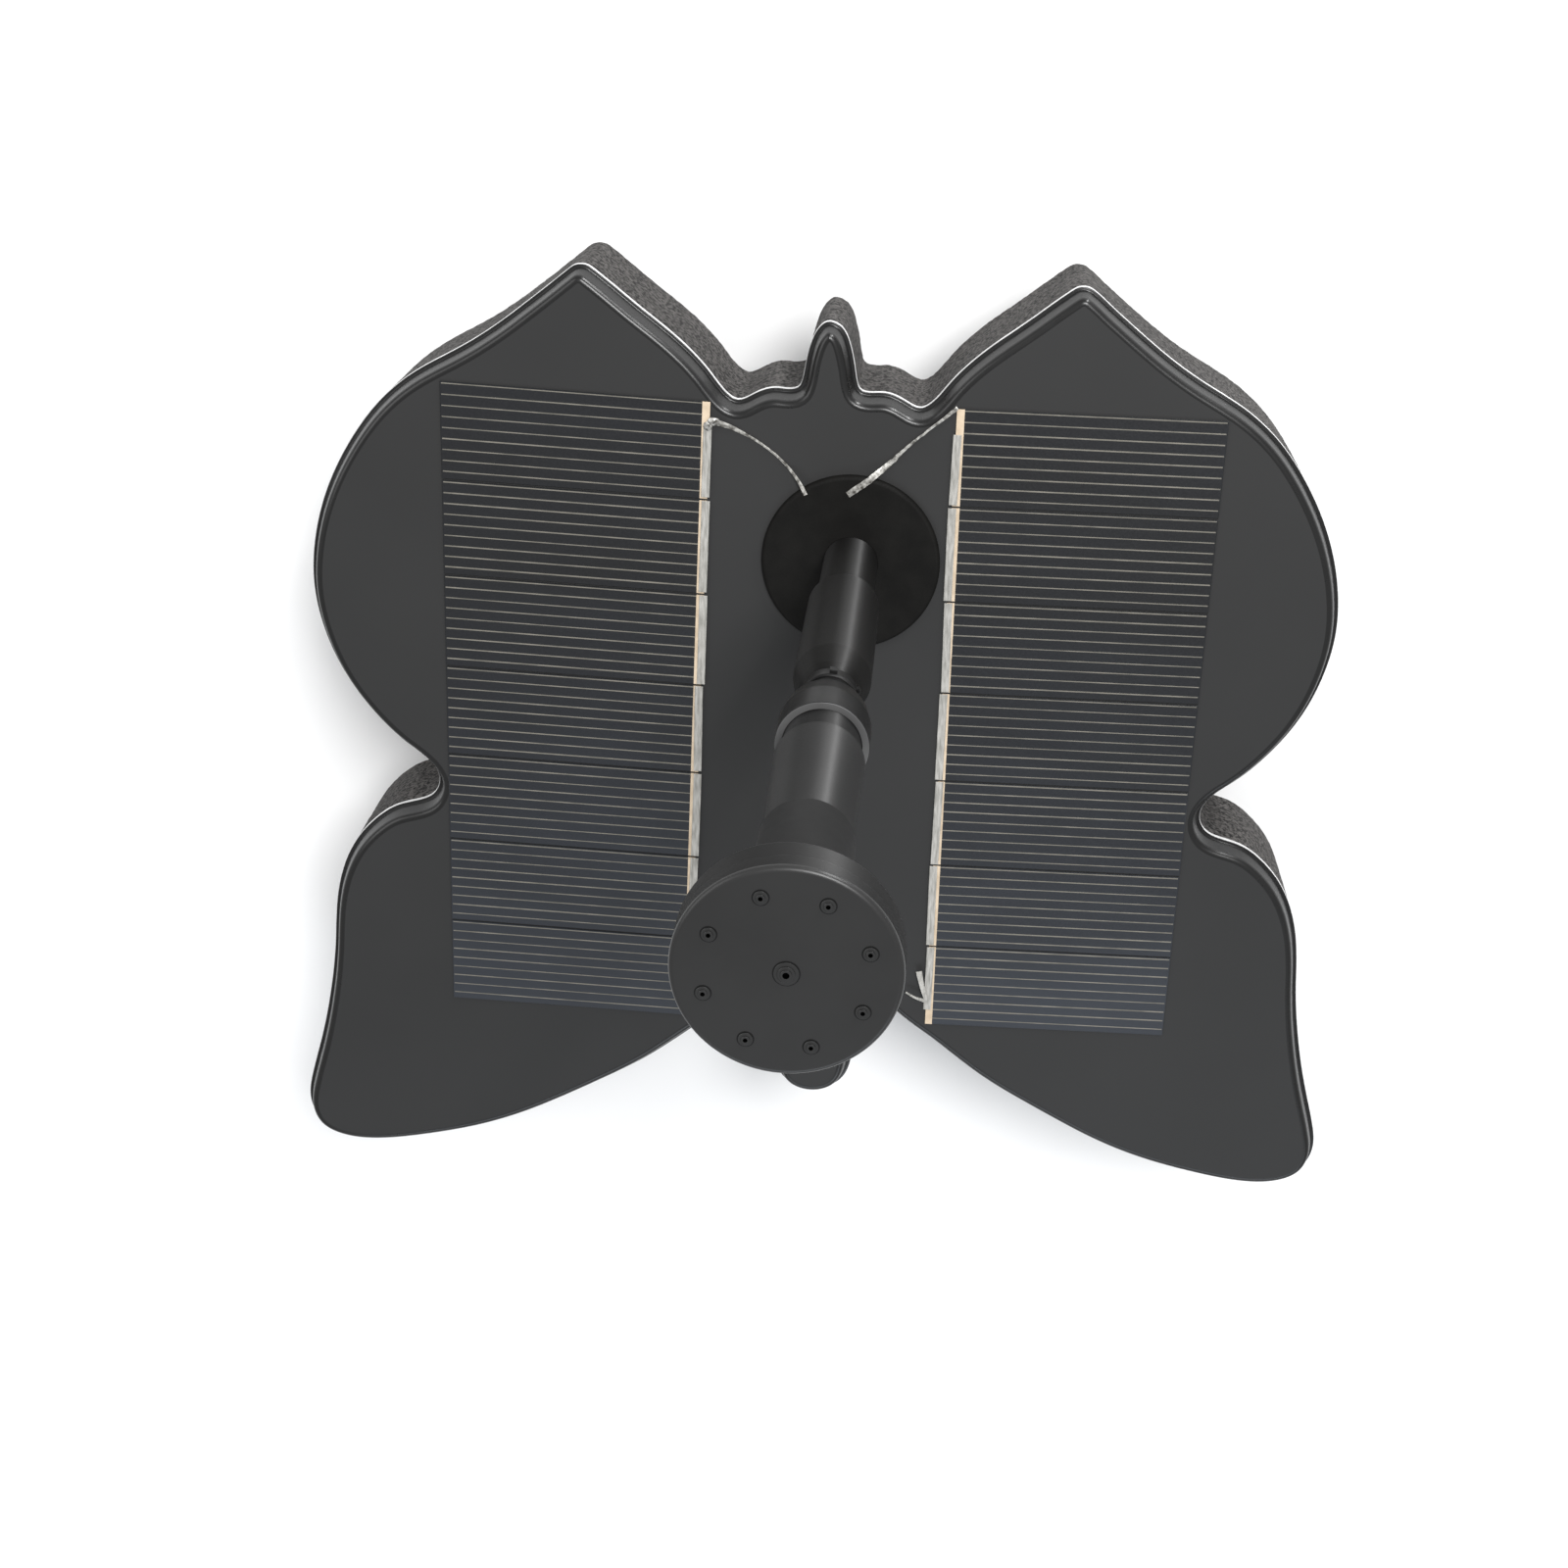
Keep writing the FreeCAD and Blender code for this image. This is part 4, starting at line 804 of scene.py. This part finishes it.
def make_collar():
    """Cup with a waist on a flange, a flat ring-shaped top round the pipe, and two nibs."""
    base = turned_box("hose_connector")[2]
    radius, _, top = turned_box("riser_collar")
    channel = 2.6
    spigot = 3.5
    flange = 4.8
    waist = 4.3
    bore = 6.3
    cup_floor = top - 12
    profile = rounded([(channel, base - 14, 0.1), (spigot, base - 14, 0.2),
                       (spigot, base + 0.1, 0), (flange, base + 0.1, 0.25),
                       (flange, base + 3, 0.4), (waist, base + 3, 0), (waist, base + 4.5, 0),
                       (6.9, base + 11, 3.0), (radius, top - 7, 1.2), (radius, top, 0.2),
                       (bore, top, 0.1), (bore, cup_floor, 0), (channel, cup_floor, 0)], 8)
    shape = Shape()
    # The flat top takes the paler copy, as painted highlight.
    turn(shape, profile, hub, lambda a, b: int(min(a.y, b.y) > top - 0.05))
    for angle, wide in ((1.45, 1.3), (0.35, 0.9)):
        out = Vector((math.cos(angle), math.sin(angle), 0))
        place = (Matrix.Translation(hub + out * 4.6 * MM + Vector((0, 0, (base + 1.0) * MM)))
                 @ Matrix.Rotation(angle, 4, "Z"))
        tile(shape, (0, -wide / 2, 0), (0.75, wide / 2, 1.6), 0.15, place)
    shape.piece("riser_collar_cup", "float", ["collar_plastic", "collar_top_painted_highlight"],
                ["riser_collar"], "grey_plastic")


def jet_kind(a, b):
    """Near-black painted shade inside a jet's bore, dark painted shade up its steps, plain plastic
    elsewhere.
    """
    if max(a.x, b.x) < 0.5:
        return 1
    return 2 if abs(a.y - b.y) > 0.12 or min(a.y, b.y) < 0.005 else 0


def add_jet(shape, centre, tiers, bore):
    """A stepped jet: tiers of (outer radius, height), each inside the one below, and a bore."""
    profile = [Vector((tiers[0][0] + 0.16, 0.004))]
    below = 0.0
    for (outer, height), inner in zip(tiers, [t[0] for t in tiers[1:]] + [bore]):
        profile += [Vector((outer, below + 0.01)), Vector((outer - 0.01, height - 0.05)),
                    Vector((outer - 0.06, height)), Vector((inner + 0.05, height))]
        below = height
    profile += [Vector((bore, below - 0.05)), Vector((bore * 0.9, 0.12)), Vector((0, 0.1))]
    turn(shape, profile, centre, jet_kind, JET_STEPS, closed=False)


def make_head_face():
    """Face of the spray head: a rounded rim, a central jet and a circle of smaller ones."""
    radius, _, top = turned_box("spray_head_base")
    seam = top + 0.02
    face = seam + FACE_RISE
    spigot = radius - SPIGOT_INSET
    spigot_end = seam - SPIGOT_TALL
    shape = Shape()
    # The face's upright side takes the darker copy, as painted shade.
    turn(shape, rounded([(0, spigot_end, 0), (spigot, spigot_end, 0.2), (spigot, seam, 0),
                         (radius, seam, 0.05), (radius, face, 0.85), (0, face, 0)], 10), hub,
         lambda a, b: 3 if min(a.x, b.x) > radius - 0.02 else 0, closed=False)
    add_jet(shape, hub + Vector((0, 0, face)) * MM, ((1.65, 0.2), (1.15, 0.42), (0.76, 0.62)), 0.4)
    for number in range(JETS):
        angle = math.radians(FIRST_JET - number * 360 / JETS)
        out = Vector((JET_CIRCLE * math.cos(angle), JET_CIRCLE * math.sin(angle), face))
        add_jet(shape, hub + out * MM, ((0.98, 0.2), (0.6, 0.4)), 0.25)
    shape.piece("spray_face_disc", "spray_head", ["head_plastic", "jet_bore_painted_shade", "jet_step_painted_shade", "head_side_painted_shade"],
                ["spray_head_face"], "grey_plastic")


def make_head_base():
    """Neck and shallow cup of the spray head."""
    radius, bottom, seam = turned_box("spray_head_base")
    back = seam - CUP_TALL
    lining = radius - CUP_WALL
    bore = 5.25
    throat = 4
    step = bottom + 18.1

    def kind_of(a, b):
        """The neck below the cup, darkened as painted shade, then the cup's upright side, darkened
        as painted shade.
        """
        if max(a.y, b.y) < back - 1:
            return 1
        return 2 if min(a.x, b.x) > radius - 0.02 else 0

    shape = Shape()
    turn(shape, rounded([(bore, bottom, 0.1), (6.9, bottom, 0.35), (7.4, back - 8, 1.5),
                         (radius, back, 0.9), (radius, seam, 0.05), (lining, seam, 0.05),
                         (lining, back + 1, 0.2), (throat, back - 3, 0.5), (throat, step, 0),
                         (bore, step, 0)], 8), hub, kind_of)
    shape.piece("spray_cup", "spray_head", ["head_plastic", "neck_painted_shade", "head_side_painted_shade"],
                ["spray_head_base"], "grey_plastic")


# ---- underside -------------------------------------------------------------------------------

def make_sponge():
    """Open-cell filter block with soft edges and torn pores."""
    low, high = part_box("filter_sponge")
    edge = 0.9
    pore_size = 1.6
    pore_depth = 0.5
    mesh = bmesh.new()
    bmesh.ops.create_cube(mesh, size=1.0)
    size = high - low
    for vert in mesh.verts:
        vert.co = Vector([c * s for c, s in zip(vert.co, size)])
    bmesh.ops.bevel(mesh, geom=mesh.edges[:], offset=edge * MM, segments=3, affect="EDGES")
    bmesh.ops.subdivide_edges(mesh, edges=mesh.edges[:], cuts=5, use_grid_fill=True)
    for vert in mesh.verts:
        direction = Vector([c / s for c, s in zip(vert.co, size)])
        pore = grain(vert.co + low, pore_size, pore_depth)
        vert.co -= direction.normalized() * pore
        vert.co += (low + high) / 2
    data = bpy.data.meshes.new("filter_block")
    mesh.to_mesh(data)
    mesh.free()
    data.materials.append(materials["sponge"])
    data.shade_smooth()
    made = bpy.data.objects.new("filter_block", data)
    bpy.context.scene.collection.objects.link(made)
    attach(made, "float")
    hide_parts("filter_sponge")


def dress_cad_nodes():
    """Give every CAD node its own finish and soften the edges of the moulded ones."""
    slots = {part["node"]: part["material_slot"] for part in frame["record"]["subparts"]}
    slots.update({"outlet_spigot": "rubber", "inner_pipe": "pipe_plastic"})
    for name, item in frame["nodes"].items():
        finish = materials.get(slots.get(name), materials["housing"])
        if len(item.material_slots) == 0:
            item.data.materials.append(finish)
        for place in item.material_slots:
            place.material = finish
    for name in ("mount_plate", "strainer_base", "volute_cover", "pump_housing"):
        soft = frame["nodes"][name].modifiers.new("soft_edges", "BEVEL")
        soft.width = 0.25 * MM
        soft.segments = 2
        soft.limit_method = "ANGLE"
        soft.angle_limit = math.radians(50)


# ---- floor, light and camera -------------------------------------------------------------------

def make_stage():
    """A wide white floor at the height on which the object rests."""
    half = 3.0    # metres
    corners = [(-half, -half, 0), (half, -half, 0), (half, half, 0), (-half, half, 0)]
    mesh = bpy.data.meshes.new("floor")
    mesh.from_pydata(corners, [], [[0, 1, 2, 3]])
    mesh.materials.append(materials["floor"])
    floor = bpy.data.objects.new("floor", mesh)
    bpy.context.scene.collection.objects.link(floor)


def make_lamp(name, place, size, power, colour=(1, 1, 1)):
    """A rectangular lamp aimed at the middle of the object; metres and watts."""
    aim = Vector((0, 0, 0.08))
    data = bpy.data.lights.new(name, "AREA")
    data.shape = "RECTANGLE"
    data.size, data.size_y = size
    data.energy = power
    data.color = colour
    lamp = bpy.data.objects.new(name, data)
    lamp.location = place
    lamp.rotation_euler = (aim - Vector(place)).to_track_quat("-Z", "Y").to_euler()
    bpy.context.scene.collection.objects.link(lamp)


def make_light():
    """A white surround, a key lamp above the head end, a narrow strip for the riser, and fills."""
    world = bpy.context.scene.world or bpy.data.worlds.new("studio")
    bpy.context.scene.world = world
    world.use_nodes = True
    background = world.node_tree.nodes["Background"]
    background.inputs["Color"].default_value = (1.0, 1.0, 1.0, 1.0)
    background.inputs["Strength"].default_value = 0.46
    make_lamp("key", (0.25, 0.5, 1.0), (0.35, 0.35), 11)
    make_lamp("strip", (0.5, 0.95, 0.25), (0.08, 0.6), 8)
    make_lamp("fill", (-0.8, 0.35, 0.6), (0.7, 0.5), 3)
    make_lamp("back", (0.1, -0.8, 0.7), (0.9, 0.3), 3, colour=(0.85, 0.92, 1.0))


def make_camera():
    """The viewpoint: above the head's side, looking down along the riser."""
    data = bpy.data.cameras.new("camera")
    data.sensor_width = 36.0
    data.lens = 49.16
    data.shift_x = -0.0702
    data.shift_y = 0.0564
    camera = bpy.data.objects.new("camera", data)
    camera.location = Vector((20.76, 173.58, 455.37)) * MM
    camera.rotation_euler = Euler([math.radians(a) for a in (-26.089, 1.738, 2.240)], "XYZ")
    bpy.context.scene.collection.objects.link(camera)
    bpy.context.scene.camera = camera


make_camera()
make_stage()
make_light()
dress_cad_nodes()
make_tray()
make_foam()
chance = random.Random(7)
make_array("left", -1, chance)
make_array("right", 1, chance)
make_jumpers()
make_connector()
make_collar()
make_head_base()
make_head_face()
make_sponge()
bpy.context.scene.view_settings.view_transform = "Standard"
